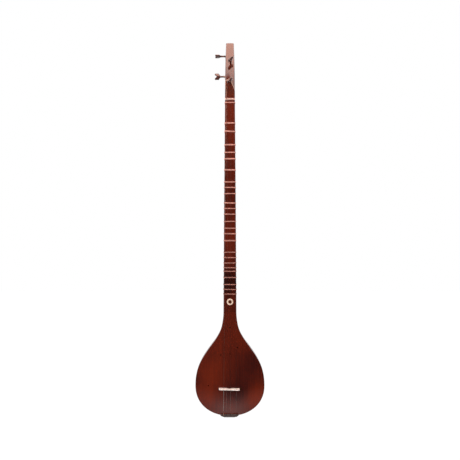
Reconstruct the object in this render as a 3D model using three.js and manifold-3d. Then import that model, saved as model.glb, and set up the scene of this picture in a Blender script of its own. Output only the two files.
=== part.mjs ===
// Setar: a long-necked lute with a ribbed bowl, tied gut frets and four strings.
// Millimetres. +Z runs up the neck, the soundboard faces -Y, and the origin is the foot of the tailpiece.
import * as THREE from 'three';
import { mergeVertices } from 'three/addons/utils/BufferGeometryUtils.js';
import Module from 'manifold-3d';

const wasm = await Module();
wasm.setup();

// Whole instrument
const STRING_LENGTH = 658;
const BRIDGE_PLACE = 66.2;
const HEAD_LENGTH = 131.9;
const CLEARANCE = 0.3;
const OVERRUN = 6;

// Bowl and soundboard
const BOWL_WIDTH = 157.2;
const BOWL_DEPTH = 127;
const BELLY_LENGTH = 69;
const SHOULDER_LENGTH = 167.5;
const BOARD_THICKNESS = 3;
const BOARD_ARCH = 3.5;
const RIB_THICKNESS = 3;
const RIB_COUNT = 11;
const RIB_TIP_ANGLE = THREE.MathUtils.degToRad(2);
const BOARD_START_ANGLE = THREE.MathUtils.degToRad(8);
const ROUNDNESS = 2.17;
const SHOULDER_SHARES = [1, 0.978, 0.898, 0.738, 0.52, 0.282, 0.106, 0.0262, 0];
const SOUND_HOLE_DIAMETER = 2.8;
// Each hole: share of the half-width to the right, share of the shoulder length above the widest place
const SOUND_HOLE_SHARES = [[-0.262, 0.418], [0.004, 0.433], [0.216, 0.516], [-0.008, 0.789], [-0.618, 0.001]];

// Blocks inside the bowl
const TAIL_BLOCK_RADIUS = 22;
const TAIL_BLOCK_HEIGHT = 18;
const NECK_BLOCK_STEPS = 4;

// Neck
const NECK_WIDTH_AT_BOWL = 29.5;
const NECK_WIDTH_AT_NUT = 22.6;
const NECK_DEPTH_AT_BOWL = 30;
const NECK_DEPTH_AT_NUT = 24;
const NECK_SWELL = 0.25;
const EDGE = 1.1;
const SPLICE_ABOVE_NUT = 7;

// Head
const HEAD_WIDTH_AT_TOP = 18.4;
const HEAD_DEPTH_AT_TOP = 21;
const HEAD_WAIST_SHARES = [1, 0.99, 0.985, 0.97, 0.93, 0.87, 0.815];
const HEAD_SQUARENESS = 4.6;
const HEAD_SHOULDER = 24;
const HEAD_TOP_EASE = 0.8;
const STEP_APEX = 45.5;
const STEP_ACROSS = 0.3;
const STEP_LEFT_FALL = 0.35;
const STEP_RIGHT_FALL = 2.5;
const STEP_DEPTH = 3;
const STEP_LEAN = 0.8;
const HEAD_SLOPE = THREE.MathUtils.degToRad(4.4);

// Nut
const NUT_THICKNESS = 4.5;
const NUT_SEAT = 2.2;
const NUT_RISE = 1.9;
const NUT_ROUND = 1;
const GROOVE_DEPTH = 0.5;
const BINDING_BELOW_NUT = 7.6;

// Frets: share of the string length below the nut, turns of gut, slope across the neck
const GUT_DIAMETER = 0.75;
const BINDING_TURNS = 3;
const FRET_SHARES = [
  [0.0826, 4, 0], [0.1113, 4, -0.05], [0.1578, 4, 0.01], [0.1841, 3, 0], [0.2062, 4, 0.01],
  [0.2448, 4, -0.015], [0.2864, 3, 0], [0.3055, 3, 0], [0.3268, 3, 0.01], [0.3592, 4, -0.02],
  [0.3783, 3, -0.02], [0.3980, 3, 0], [0.4230, 3, 0.01], [0.4467, 3, 0], [0.4655, 4, -0.015],
  [0.4895, 4, 0], [0.5297, 3, 0.015], [0.5482, 3, 0], [0.5669, 3, 0.02], [0.5832, 3, -0.01],
  [0.5955, 3, 0], [0.6170, 3, 0], [0.6413, 3, 0], [0.6583, 3, -0.01], [0.6744, 3, 0],
];

// Inlay
const INLAY_ABOVE_JOINT = 22.8;
const INLAY_DIAMETER = 14.8;
const INLAY_HOLE = 8;
const INLAY_THICKNESS = 1.4;

// Bridge
const BRIDGE_OFFSET = -1.5;
const BRIDGE_WIDTH = 47;
const BRIDGE_HEIGHT = 7.4;
const BRIDGE_FOOT_THICKNESS = 3.8;
const BRIDGE_TOP_THICKNESS = 1.9;
const BRIDGE_FOOT_WIDTH = 18.5;
const BRIDGE_ARCH_HEIGHT = 3.2;
const BRIDGE_END_ROUND = 2;

// Tailpiece
const TAIL_LIP = 3.5;
const TAILPIECE_OFFSET = -1;
const TAILPIECE_WIDTH = 41;
const TAILPIECE_FOOT_WIDTH = 10;
const TAILPIECE_TOP_WIDTH = 36;
const TAILPIECE_HEIGHT = 8.5;
const TAILPIECE_SHOULDER = 5.4;
const TAILPIECE_FRONT = 4.2;
const TAILPIECE_BACK = 12;
const TAILPIECE_CHAMFER = 1.8;
const PIN_HEIGHT = 4.6;
const PIN_RADIUS = 1;
const PIN_LENGTH = 2.8;

// Pegs
const FRONT_PEGS_ABOVE_NUT = [36.4, 85.8];
const FRONT_PEGS_ACROSS = [0, 1.6];
const FRONT_KNOB_ANGLE = THREE.MathUtils.degToRad(38);
const SIDE_PEGS_ABOVE_NUT = [54.3, 102.5];
const PEG_SET_BACK = 5.5;
const PEG_SHAFT = 11.3;
const PEG_RADIUS_AT_KNOB = 1.95;
const PEG_RADIUS_AT_TIP = 1.6;
const PEG_TIP_SHORT = 0.5;
const PEG_FIT = 0.1;
const KNOB_LENGTH = 12.7;
const KNOB_WIDTH = 14.6;
const KNOB_THICKNESS = 5.2;
const KNOB_NOTCH = 4.8;
const KNOB_EASE = 1.1;
const KNOB_SHOULDER_SHARE = 0.34;
const KNOB_TIP_SHARE = 0.88;
const SHAFT_SIDES = 16;

// Strings, from the viewer's left: diameter, then the distance from the middle at tail, bridge and nut
const COIL_GAP = 0.55;
const COIL_TURNS = 3;
const COIL_STEPS = 24;
const STRING_SIDES = 6;
const CUT_END = 2.5;
const SIDE_TURN = 8;
const STRINGS = {
  string_bass: { diameter: 0.45, tail: -14.9, bridge: -14, nut: -7.8, peg: 'peg_side_lower' },
  string_octave: { diameter: 0.25, tail: -9.2, bridge: -6.9, nut: -4.9, peg: 'peg_side_upper' },
  string_second: { diameter: 0.25, tail: 0.9, bridge: 1.3, nut: 2.4, peg: 'peg_front_lower' },
  string_first: { diameter: 0.25, tail: 13.4, bridge: 14.4, nut: 8, peg: 'peg_front_upper' },
};

// Mesh fineness
const BELLY_STEPS = 9;
const SHOULDER_STEPS = 15;
const RIB_STEPS = 2;
const BOARD_STEPS = 10;
const ARC_STEPS = 12;
const NECK_STEPS = 10;
const HEAD_STEPS = 8;
const HOLE_SIDES = 16;
const DISC_SIDES = 32;

// Places worked out from the sizes
const WIDEST_Z = TAIL_LIP + BELLY_LENGTH;
const JOINT_Z = WIDEST_Z + SHOULDER_LENGTH;
const NUT_Z = BRIDGE_PLACE + STRING_LENGTH;
const SPLICE_Z = NUT_Z + SPLICE_ABOVE_NUT;
const TOP_Z = NUT_Z + HEAD_LENGTH;
const APEX_Z = NUT_Z + STEP_APEX;
const RIM_Y = BOARD_THICKNESS + CLEARANCE;
const BRIDGE_BASE_Y = -BOARD_ARCH - CLEARANCE;
const BRIDGE_TOP_Y = BRIDGE_BASE_Y - BRIDGE_HEIGHT;

const { lerp } = THREE.MathUtils;
const point = (x, y, z) => new THREE.Vector3(x, y, z);

// Materials
function material(color, roughness, metalness = 0) {
  return new THREE.MeshStandardMaterial({ color, roughness, metalness });
}
const boardWood = material(0x57201a, 0.3);
const bowlWood = material(0x4f1c12, 0.3);
const neckWood = material(0x4c1a10, 0.35);
const headWood = material(0x6a2f20, 0.2);
const innerWood = material(0xa88258, 0.8);
const pegWood = material(0x3a1a12, 0.4);
const bone = material(0xf2dccb, 0.45);
const gut = material(0xd8a58f, 0.5);
const discWood = material(0x2c1208, 0.4);
const steel = material(0xb9b4ae, 0.25, 1);
const bronze = material(0xb98a58, 0.3, 1);

const setar = new THREE.Group();
function add(name, geometry, finish) {
  const mesh = new THREE.Mesh(geometry, finish);
  mesh.name = name;
  setar.add(mesh);
  return mesh;
}

// Closed surface over a row of rings with equal point counts; a looped row joins its last ring to its first
function loft(rings, looped = false) {
  const size = rings[0].length;
  const corners = [];
  const quad = (a, b, c, d) => corners.push(a, b, c, a, c, d);
  for (let i = 0; i < rings.length - (looped ? 0 : 1); i += 1) {
    const next = (i + 1) % rings.length;
    for (let j = 0; j < size; j += 1) {
      const k = (j + 1) % size;
      quad(i * size + j, i * size + k, next * size + k, next * size + j);
    }
  }
  for (const ring of looped ? [] : [0, rings.length - 1]) {
    const start = corners.length;
    for (let j = 0; 2 * j < size - 2; j += 1) {
      const [a, b] = [ring * size + j, ring * size + j + 1];
      const [c, d] = [ring * size + size - 2 - j, ring * size + size - 1 - j];
      corners.push(a, d, c);
      if (b !== c) corners.push(a, c, b);
    }
    if (ring > 0) corners.splice(start, corners.length - start, ...corners.slice(start).reverse());
  }
  const geometry = new THREE.BufferGeometry().setFromPoints(rings.flat());
  geometry.setIndex(volumeOf(rings.flat(), corners) < 0 ? corners.reverse() : corners);
  return geometry;
}

function volumeOf(points, corners) {
  let volume = 0;
  for (let i = 0; i < corners.length; i += 3) {
    const [a, b, c] = [points[corners[i]], points[corners[i + 1]], points[corners[i + 2]]];
    volume += a.dot(b.clone().cross(c));
  }
  return volume;
}

// Joins and cuts
function toSolid(geometry) {
  const bare = geometry.clone();
  bare.deleteAttribute('normal');
  bare.deleteAttribute('uv');
  const merged = mergeVertices(bare, CLEARANCE / 1000);
  const vertProperties = new Float32Array(merged.attributes.position.array);
  const triVerts = new Uint32Array(merged.index.array);
  return new wasm.Manifold(new wasm.Mesh({ numProp: 3, vertProperties, triVerts }));
}

function toGeometry(solid) {
  const mesh = solid.getMesh();
  const geometry = new THREE.BufferGeometry();
  geometry.setAttribute('position', new THREE.BufferAttribute(new Float32Array(mesh.vertProperties), 3));
  geometry.setIndex(new THREE.BufferAttribute(new Uint32Array(mesh.triVerts), 1));
  return geometry;
}

function cut(geometry, ...cutters) {
  return toGeometry(cutters.reduce((solid, cutter) => solid.subtract(toSolid(cutter)), toSolid(geometry)));
}

function join(geometry, ...others) {
  return toGeometry(others.reduce((solid, other) => solid.add(toSolid(other)), toSolid(geometry)));
}

function box(low, high) {
  const size = high.clone().sub(low);
  const centre = low.clone().add(high).multiplyScalar(0.5);
  return new THREE.BoxGeometry(size.x, size.y, size.z).translate(centre.x, centre.y, centre.z);
}

// Round bar from one point to another
function rod(from, to, startRadius, endRadius, sides) {
  const direction = to.clone().sub(from);
  const bar = new THREE.CylinderGeometry(endRadius, startRadius, direction.length(), sides);
  const turn = new THREE.Quaternion().setFromUnitVectors(point(0, 1, 0), direction.clone().normalize());
  const middle = from.clone().add(to).multiplyScalar(0.5);
  return bar.applyQuaternion(turn).translate(middle.x, middle.y, middle.z);
}

// Smooth value through equally spaced shares, level at both ends
function shareAt(shares, place) {
  const last = shares.length - 1;
  const scaled = THREE.MathUtils.clamp(place, 0, 1) * last;
  const i = Math.min(Math.floor(scaled), last - 1);
  const t = scaled - i;
  const before = shares[Math.abs(i - 1)];
  const after = shares[i + 2 > last ? last - 1 : i + 2];
  const rise = (shares[i + 1] - before) / 2;
  const fall = (after - shares[i]) / 2;
  const bend = 2 * (shares[i] - shares[i + 1]) + rise + fall;
  return ((bend * t + 3 * (shares[i + 1] - shares[i]) - 2 * rise - fall) * t + rise) * t + shares[i];
}

// Half-width, depth and share of the arch of the bowl; inset moves in from its outer surface
function bellyStation(angle, inset = 0) {
  const share = Math.sin(angle) ** (2 / ROUNDNESS);
  const drop = Math.max(Math.cos(angle), 0) ** (2 / ROUNDNESS);
  return {
    z: WIDEST_Z - (BELLY_LENGTH - inset) * drop,
    half: (BOWL_WIDTH / 2 - inset) * share,
    depth: (BOWL_DEPTH - inset) * share,
    share,
  };
}

function shoulderStation(place, inset = 0) {
  const share = shareAt(SHOULDER_SHARES, place);
  return {
    z: lerp(WIDEST_Z, JOINT_Z, place),
    half: lerp(NECK_WIDTH_AT_BOWL, BOWL_WIDTH, share) / 2 - inset,
    depth: lerp(NECK_DEPTH_AT_BOWL - BOARD_THICKNESS, BOWL_DEPTH, share) - inset,
    share,
  };
}

function bowlStations(startAngle, inset = 0) {
  const stations = [];
  for (let i = 0; i < BELLY_STEPS; i += 1) {
    stations.push(bellyStation(lerp(startAngle, Math.PI / 2, i / BELLY_STEPS), inset));
  }
  for (let i = 0; i <= SHOULDER_STEPS; i += 1) stations.push(shoulderStation(i / SHOULDER_STEPS, inset));
  return stations;
}

// Point on the rounded back of a section; the angle runs from the right edge to the left
function backPoint({ half, depth, z }, angle, rim = RIM_Y, squareness = ROUNDNESS) {
  const [c, s] = [Math.cos(angle), Math.sin(angle)];
  const x = half * Math.sign(c) * Math.abs(c) ** (2 / squareness);
  return point(x, rim + depth * Math.abs(s) ** (2 / squareness), z);
}

// Angles that share the half-round of the widest section into equal lengths
function equalAngles(count) {
  const widest = shoulderStation(0);
  const fine = count * COIL_STEPS;
  const travelled = [0];
  for (let i = 1; i <= fine; i += 1) {
    const from = backPoint(widest, (Math.PI * (i - 1)) / fine);
    travelled.push(travelled[i - 1] + from.distanceTo(backPoint(widest, (Math.PI * i) / fine)));
  }
  return Array.from({ length: count + 1 }, (_, k) => {
    const goal = (travelled[fine] * k) / count;
    return (Math.PI * travelled.findIndex((length) => length >= goal * (1 - Number.EPSILON))) / fine;
  });
}

const RIB_ANGLES = equalAngles(RIB_COUNT * RIB_STEPS);

function boardFront(station, across) {
  return -BOARD_ARCH * station.share * (1 - across * across);
}

function makeSoundboard() {
  const rings = bowlStations(BOARD_START_ANGLE).map((station) => {
    const front = [];
    const back = [];
    for (let j = 0; j <= BOARD_STEPS; j += 1) {
      const across = 1 - (2 * j) / BOARD_STEPS;
      const y = boardFront(station, across);
      front.push(point(station.half * across, y, station.z));
      back.unshift(point(station.half * across, y + BOARD_THICKNESS, station.z));
    }
    return [...front, ...back];
  });
  const holes = SOUND_HOLE_SHARES.map(([across, up]) => {
    const station = shoulderStation(up);
    const x = (across * BOWL_WIDTH) / 2;
    const [front, back] = [-BOARD_ARCH - OVERRUN, BOARD_THICKNESS + OVERRUN];
    const radius = SOUND_HOLE_DIAMETER / 2;
    return rod(point(x, front, station.z), point(x, back, station.z), radius, radius, HOLE_SIDES);
  });
  add('soundboard', cut(loft(rings), ...holes), boardWood);
}

// One bent rib between two angles, with half the glue line off each side
function makeRib(name, angles) {
  const outer = bowlStations(RIB_TIP_ANGLE);
  const inner = bowlStations(RIB_TIP_ANGLE, RIB_THICKNESS);
  const last = angles.length - 1;
  const eased = (station, j) => {
    const side = j === 0 ? 1 : j === last ? -1 : 0;
    const stretch = Math.hypot(station.half * Math.sin(angles[j]), station.depth * Math.cos(angles[j]));
    return angles[j] + (side * CLEARANCE) / 2 / stretch;
  };
  const rings = outer.map((station, i) => [
    ...angles.map((_, j) => backPoint(station, eased(station, j))),
    ...angles.map((_, j) => backPoint(inner[i], eased(station, j))).reverse(),
  ]);
  add(name, loft(rings), bowlWood);
}

function makeBowl() {
  for (let k = 0; k < RIB_COUNT; k += 1) {
    const name = `bowl_rib_${String(k + 1).padStart(2, '0')}`;
    makeRib(name, RIB_ANGLES.slice(k * RIB_STEPS, (k + 1) * RIB_STEPS + 1));
  }
}

// Solid of the whole bowl with its soundboard, moved in or out from the outer surface
function bodySolid(inset, startAngle, withBoard) {
  const rim = withBoard ? BOARD_THICKNESS : RIM_Y + CLEARANCE;
  const rings = bowlStations(startAngle, inset).map((station) => {
    const back = RIB_ANGLES.map((angle) => backPoint(station, angle, rim));
    if (!withBoard) return back;
    const front = [];
    for (let j = 0; j <= BOARD_STEPS; j += 1) {
      const across = (2 * j) / BOARD_STEPS - 1;
      front.push(point(station.half * across, boardFront(station, across) + inset, station.z));
    }
    return [...back, ...front];
  });
  return loft(rings);
}

function makeTailBlock() {
  const inside = bodySolid(RIB_THICKNESS + CLEARANCE, RIB_TIP_ANGLE, false);
  const low = point(0, RIM_Y, -OVERRUN);
  const high = point(0, RIM_Y, TAIL_LIP + TAIL_BLOCK_HEIGHT);
  const core = rod(low, high, TAIL_BLOCK_RADIUS, TAIL_BLOCK_RADIUS, DISC_SIDES);
  add('tail_block', toGeometry(toSolid(inside).intersect(toSolid(core))), innerWood);
}

function makeNeckBlock() {
  const stations = bowlStations(RIB_TIP_ANGLE, RIB_THICKNESS + CLEARANCE).slice(-NECK_BLOCK_STEPS - 1);
  const roof = RIM_Y + CLEARANCE;
  const rings = stations.map((station) => RIB_ANGLES.map((angle) => backPoint(station, angle, roof)));
  add('neck_block', loft(rings), innerWood);
}

// Neck and head sections: flat front with eased edges, straight sides, rounded back
function beamSection(half, depth, squareness, z, front = 0, ease = EDGE) {
  const side = BOARD_THICKNESS;
  const station = { half, depth: depth - side, z };
  const arc = (_, k) => backPoint(station, (Math.PI * k) / ARC_STEPS, side, squareness);
  return [
    point(half - ease, front, z), point(half, front + ease, z),
    ...Array.from({ length: ARC_STEPS + 1 }, arc),
    point(-half, front + ease, z), point(ease - half, front, z),
  ];
}

function neckShape(z) {
  const place = (z - JOINT_Z) / (NUT_Z - JOINT_Z);
  const swell = NECK_SWELL * Math.sin(Math.PI * THREE.MathUtils.clamp(place, 0, 1));
  return {
    half: lerp(NECK_WIDTH_AT_BOWL, NECK_WIDTH_AT_NUT, Math.min(place, 1)) / 2 + swell,
    depth: lerp(NECK_DEPTH_AT_BOWL, NECK_DEPTH_AT_NUT, Math.min(place, 1)),
  };
}

function makeNeck() {
  const rings = [];
  for (let i = 0; i <= NECK_STEPS; i += 1) {
    const z = lerp(JOINT_Z + CLEARANCE, SPLICE_Z, i / NECK_STEPS);
    const { half, depth } = neckShape(z);
    rings.push(beamSection(half, depth, ROUNDNESS, z));
  }
  const reach = NECK_WIDTH_AT_NUT;
  const slotHalf = NUT_THICKNESS / 2 + CLEARANCE;
  const slotFloor = NUT_SEAT + CLEARANCE;
  const slot = box(point(-reach, -OVERRUN, NUT_Z - slotHalf), point(reach, slotFloor, NUT_Z + slotHalf));
  const inlayZ = JOINT_Z + INLAY_ABOVE_JOINT;
  const radius = INLAY_DIAMETER / 2 + CLEARANCE;
  const floor = INLAY_THICKNESS + CLEARANCE;
  const recess = rod(point(0, -OVERRUN, inlayZ), point(0, floor, inlayZ), radius, radius, DISC_SIDES);
  add('neck', cut(loft(rings), slot, recess), neckWood);
}

// Head: half-width and depth above the splice, and its front face
function headShape(z) {
  const place = (z - SPLICE_Z) / (TOP_Z - SPLICE_Z);
  const start = neckShape(SPLICE_Z);
  const shares = HEAD_WAIST_SHARES;
  const top = shares[shares.length - 1];
  const share = (shareAt(shares, place) - top) / (1 - top);
  const blend = THREE.MathUtils.smoothstep(z, SPLICE_Z, SPLICE_Z + HEAD_SHOULDER);
  return {
    half: lerp(HEAD_WIDTH_AT_TOP / 2, start.half, share),
    depth: lerp(start.depth, HEAD_DEPTH_AT_TOP, place),
    squareness: lerp(ROUNDNESS, HEAD_SQUARENESS, blend),
  };
}

// Height of the pointed step's front edge, and the front face above it or below it
function stepEdge(x) {
  const across = x - STEP_ACROSS;
  return APEX_Z + (across < 0 ? across * STEP_LEFT_FALL : -across * STEP_RIGHT_FALL);
}

function slopeAt(z) {
  return STEP_DEPTH + (z - APEX_Z) * Math.tan(HEAD_SLOPE);
}

function headFront(x, z) {
  return z > stepEdge(x) ? slopeAt(z) : 0;
}

// Block in front of the sloping face, open upwards from the pointed step, whose riser leans back
function stepCutter() {
  const reach = NECK_WIDTH_AT_NUT / 2 + CLEARANCE;
  const top = TOP_Z + OVERRUN;
  const onFace = (x) => {
    const y = slopeAt(stepEdge(x)) / (1 - STEP_LEAN * Math.tan(HEAD_SLOPE));
    return point(x, y, stepEdge(x) + y * STEP_LEAN);
  };
  const inFront = (x) => point(x, -OVERRUN, stepEdge(x) - OVERRUN * STEP_LEAN);
  const back = [point(reach, slopeAt(top), top), point(-reach, slopeAt(top), top)];
  const front = [point(reach, -OVERRUN, top), point(-reach, -OVERRUN, top)];
  for (const x of [-reach, STEP_ACROSS, reach]) {
    back.push(onFace(x));
    front.push(inFront(x));
  }
  return loft([back, front]);
}

function makeHead(pegs) {
  const rings = [];
  const heights = [];
  const [foot, shoulder] = [SPLICE_Z + CLEARANCE, TOP_Z - HEAD_TOP_EASE];
  for (let i = 0; i < HEAD_STEPS; i += 1) heights.push(lerp(foot, shoulder, i / (HEAD_STEPS - 1)));
  for (const z of heights) {
    const { half, depth, squareness } = headShape(z);
    rings.push(beamSection(half, depth, squareness, z));
  }
  const { half, depth, squareness } = headShape(TOP_Z);
  rings.push(beamSection(half - HEAD_TOP_EASE, depth - HEAD_TOP_EASE, squareness, TOP_Z));
  const holes = Object.values(pegs).map((peg) => pegShaft(peg, PEG_FIT).applyMatrix4(peg.place));
  add('head', cut(loft(rings), stepCutter(), ...holes), headWood);
}

// Pegs: each runs out of the head along its axis; the wings of the knob lie along its wing direction
function planPegs() {
  const [out, left] = [point(0, -1, 0), point(-1, 0, 0)];
  const slanted = point(Math.cos(FRONT_KNOB_ANGLE), 0, Math.sin(FRONT_KNOB_ANGLE));
  const frontPeg = (k, wing) => {
    const [x, z] = [FRONT_PEGS_ACROSS[k], NUT_Z + FRONT_PEGS_ABOVE_NUT[k]];
    const { depth } = headShape(z);
    const face = headFront(x, z);
    const seat = point(x, face, z);
    return { seat, out, wing, shown: PEG_SHAFT, reach: depth - face - PEG_TIP_SHORT };
  };
  const sidePeg = (k, wing) => {
    const z = NUT_Z + SIDE_PEGS_ABOVE_NUT[k];
    const { half } = headShape(z);
    const seat = point(-half, slopeAt(z) + PEG_SET_BACK, z);
    return { seat, out: left, wing, shown: PEG_SHAFT, reach: 2 * half - PEG_TIP_SHORT };
  };
  const pegs = {
    peg_front_lower: frontPeg(0, slanted),
    peg_side_lower: sidePeg(0, point(0, 0, 1)),
    peg_front_upper: frontPeg(1, slanted),
    peg_side_upper: sidePeg(1, point(0, 1, 0)),
  };
  for (const peg of Object.values(pegs)) {
    const across = peg.out.clone().cross(peg.wing);
    peg.place = new THREE.Matrix4().makeBasis(peg.wing, across, peg.out).setPosition(peg.seat);
  }
  return pegs;
}

// Peg in its own frame: +Z out of the head, zero at the face of the head
function pegShaft(peg, growth) {
  const over = growth > 0 ? OVERRUN : 0;
  const [tip, end] = [-peg.reach - over, growth > 0 ? peg.shown / 2 : peg.shown];
  const place = (z) => (z + peg.reach) / (peg.shown + peg.reach);
  const radiusAt = (z) => growth + lerp(PEG_RADIUS_AT_TIP, PEG_RADIUS_AT_KNOB, place(z));
  return rod(point(0, 0, tip), point(0, 0, end), radiusAt(tip), radiusAt(end), SHAFT_SIDES);
}

function knob(shown) {
  const [half, root] = [KNOB_WIDTH / 2 - KNOB_EASE, PEG_RADIUS_AT_KNOB - KNOB_EASE / 2];
  const end = KNOB_LENGTH - KNOB_EASE;
  const [shoulder, tip] = [end * KNOB_SHOULDER_SHARE, end * KNOB_TIP_SHARE];
  const outline = new THREE.Shape();
  outline.moveTo(root, 0);
  outline.quadraticCurveTo((root + half) / 2, 0, half, shoulder);
  outline.lineTo(half, tip);
  outline.quadraticCurveTo(half, end, half - end + tip, end);
  outline.lineTo(0, end - KNOB_NOTCH);
  outline.lineTo(end - tip - half, end);
  outline.quadraticCurveTo(-half, end, -half, tip);
  outline.lineTo(-half, shoulder);
  outline.quadraticCurveTo(-(root + half) / 2, 0, -root, 0);
  const flat = KNOB_THICKNESS - 2 * KNOB_EASE;
  const bevel = { bevelThickness: KNOB_EASE, bevelSize: KNOB_EASE, bevelSegments: 1 };
  const plate = new THREE.ExtrudeGeometry(outline, { depth: flat, curveSegments: 4, ...bevel });
  return plate.translate(0, 0, -flat / 2).rotateX(Math.PI / 2).translate(0, 0, shown);
}

function makePegs(pegs) {
  for (const [name, peg] of Object.entries(pegs)) {
    const mesh = add(name, join(pegShaft(peg, 0), knob(peg.shown)), pegWood);
    mesh.applyMatrix4(peg.place);
  }
}

// Box cutter for the groove that holds a string on the nut or the bridge
function groove(string, x, topY, z, thickness) {
  const half = string.diameter / 2 + CLEARANCE;
  const reach = thickness / 2 + OVERRUN;
  return box(point(x - half, topY - OVERRUN, z - reach), point(x + half, topY + GROOVE_DEPTH, z + reach));
}

function makeNut() {
  const [half, top] = [NUT_THICKNESS / 2, -NUT_RISE];
  const profile = new THREE.Shape();
  profile.moveTo(-half, -NUT_SEAT);
  profile.lineTo(-half, -top - NUT_ROUND);
  profile.quadraticCurveTo(-half, -top, NUT_ROUND - half, -top);
  profile.lineTo(half - NUT_ROUND, -top);
  profile.quadraticCurveTo(half, -top, half, -top - NUT_ROUND);
  profile.lineTo(half, -NUT_SEAT);
  const depth = NECK_WIDTH_AT_NUT;
  const bar = new THREE.ExtrudeGeometry(profile, { depth, bevelEnabled: false, curveSegments: 3 });
  const place = new THREE.Matrix4().makeBasis(point(0, 0, 1), point(0, -1, 0), point(1, 0, 0));
  bar.translate(0, 0, -depth / 2).applyMatrix4(place.setPosition(0, 0, NUT_Z));
  const grooves = Object.values(STRINGS).map((string) => (
    groove(string, string.nut, top, NUT_Z, NUT_THICKNESS)
  ));
  add('nut', cut(bar, ...grooves), bone);
}

// Band of gut turns tied round the neck
function band(z, turns, slope) {
  const { half, depth } = neckShape(z);
  const rings = [0, GUT_DIAMETER].map((lift) => {
    const grow = CLEARANCE + lift;
    return beamSection(half + grow, depth + grow, ROUNDNESS, z, -grow, EDGE + grow / 2);
  });
  const height = (turns * GUT_DIAMETER) / 2;
  const raised = (p, up) => point(p.x, p.y, p.z + up + p.x * slope);
  const loops = rings[0].map((inner, j) => {
    const outer = rings[1][j];
    return [raised(inner, -height), raised(inner, height), raised(outer, height), raised(outer, -height)];
  });
  return loft(loops, true);
}

function makeFrets() {
  add('nut_binding', band(NUT_Z - BINDING_BELOW_NUT, BINDING_TURNS, 0), gut);
  FRET_SHARES.forEach(([share, turns, slope], i) => {
    const name = `fret_${String(i + 1).padStart(2, '0')}`;
    add(name, band(NUT_Z - share * STRING_LENGTH, turns, slope), gut);
  });
}

function makeInlay() {
  const z = JOINT_Z + INLAY_ABOVE_JOINT;
  const disc = (radius, over) => {
    const [front, back] = [point(0, -over, z), point(0, INLAY_THICKNESS + over, z)];
    return rod(front, back, radius, radius, DISC_SIDES);
  };
  add('inlay_ring', cut(disc(INLAY_DIAMETER / 2, 0), disc(INLAY_HOLE / 2, OVERRUN)), bone);
  add('inlay_disc', disc(INLAY_HOLE / 2 - CLEARANCE, 0), discWood);
}

function makeBridge() {
  const half = BRIDGE_WIDTH / 2;
  const outline = new THREE.Shape();
  outline.moveTo(-half, 0);
  outline.lineTo(-half, BRIDGE_HEIGHT - BRIDGE_END_ROUND);
  outline.quadraticCurveTo(-half, BRIDGE_HEIGHT, BRIDGE_END_ROUND - half, BRIDGE_HEIGHT);
  outline.lineTo(half - BRIDGE_END_ROUND, BRIDGE_HEIGHT);
  outline.quadraticCurveTo(half, BRIDGE_HEIGHT, half, BRIDGE_HEIGHT - BRIDGE_END_ROUND);
  outline.lineTo(half, 0);
  outline.lineTo(half - BRIDGE_FOOT_WIDTH, 0);
  const inner = half - BRIDGE_FOOT_WIDTH;
  outline.bezierCurveTo(inner / 2, BRIDGE_ARCH_HEIGHT, -inner / 2, BRIDGE_ARCH_HEIGHT, -inner, 0);
  const depth = BRIDGE_FOOT_THICKNESS;
  const bar = new THREE.ExtrudeGeometry(outline, { depth, bevelEnabled: false, curveSegments: 8 });
  bar.translate(0, 0, -depth / 2);
  const places = bar.attributes.position;
  for (let i = 0; i < places.count; i += 1) {
    const thinning = lerp(1, BRIDGE_TOP_THICKNESS / BRIDGE_FOOT_THICKNESS, places.getY(i) / BRIDGE_HEIGHT);
    places.setZ(i, places.getZ(i) * thinning);
  }
  const place = new THREE.Matrix4().makeBasis(point(1, 0, 0), point(0, -1, 0), point(0, 0, -1));
  bar.applyMatrix4(place.setPosition(BRIDGE_OFFSET, BRIDGE_BASE_Y, BRIDGE_PLACE));
  const cutters = Object.values(STRINGS).map((string) => (
    groove(string, string.bridge, BRIDGE_TOP_Y, BRIDGE_PLACE, BRIDGE_FOOT_THICKNESS)
  ));
  add('bridge', cut(bar, ...cutters), bone);
}

// Radius of a string's turns round a pin or shaft
const coilRadius = (string, core) => core + CLEARANCE + string.diameter / 2;
const pinX = (string) => string.tail + coilRadius(string, PIN_RADIUS);

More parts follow.
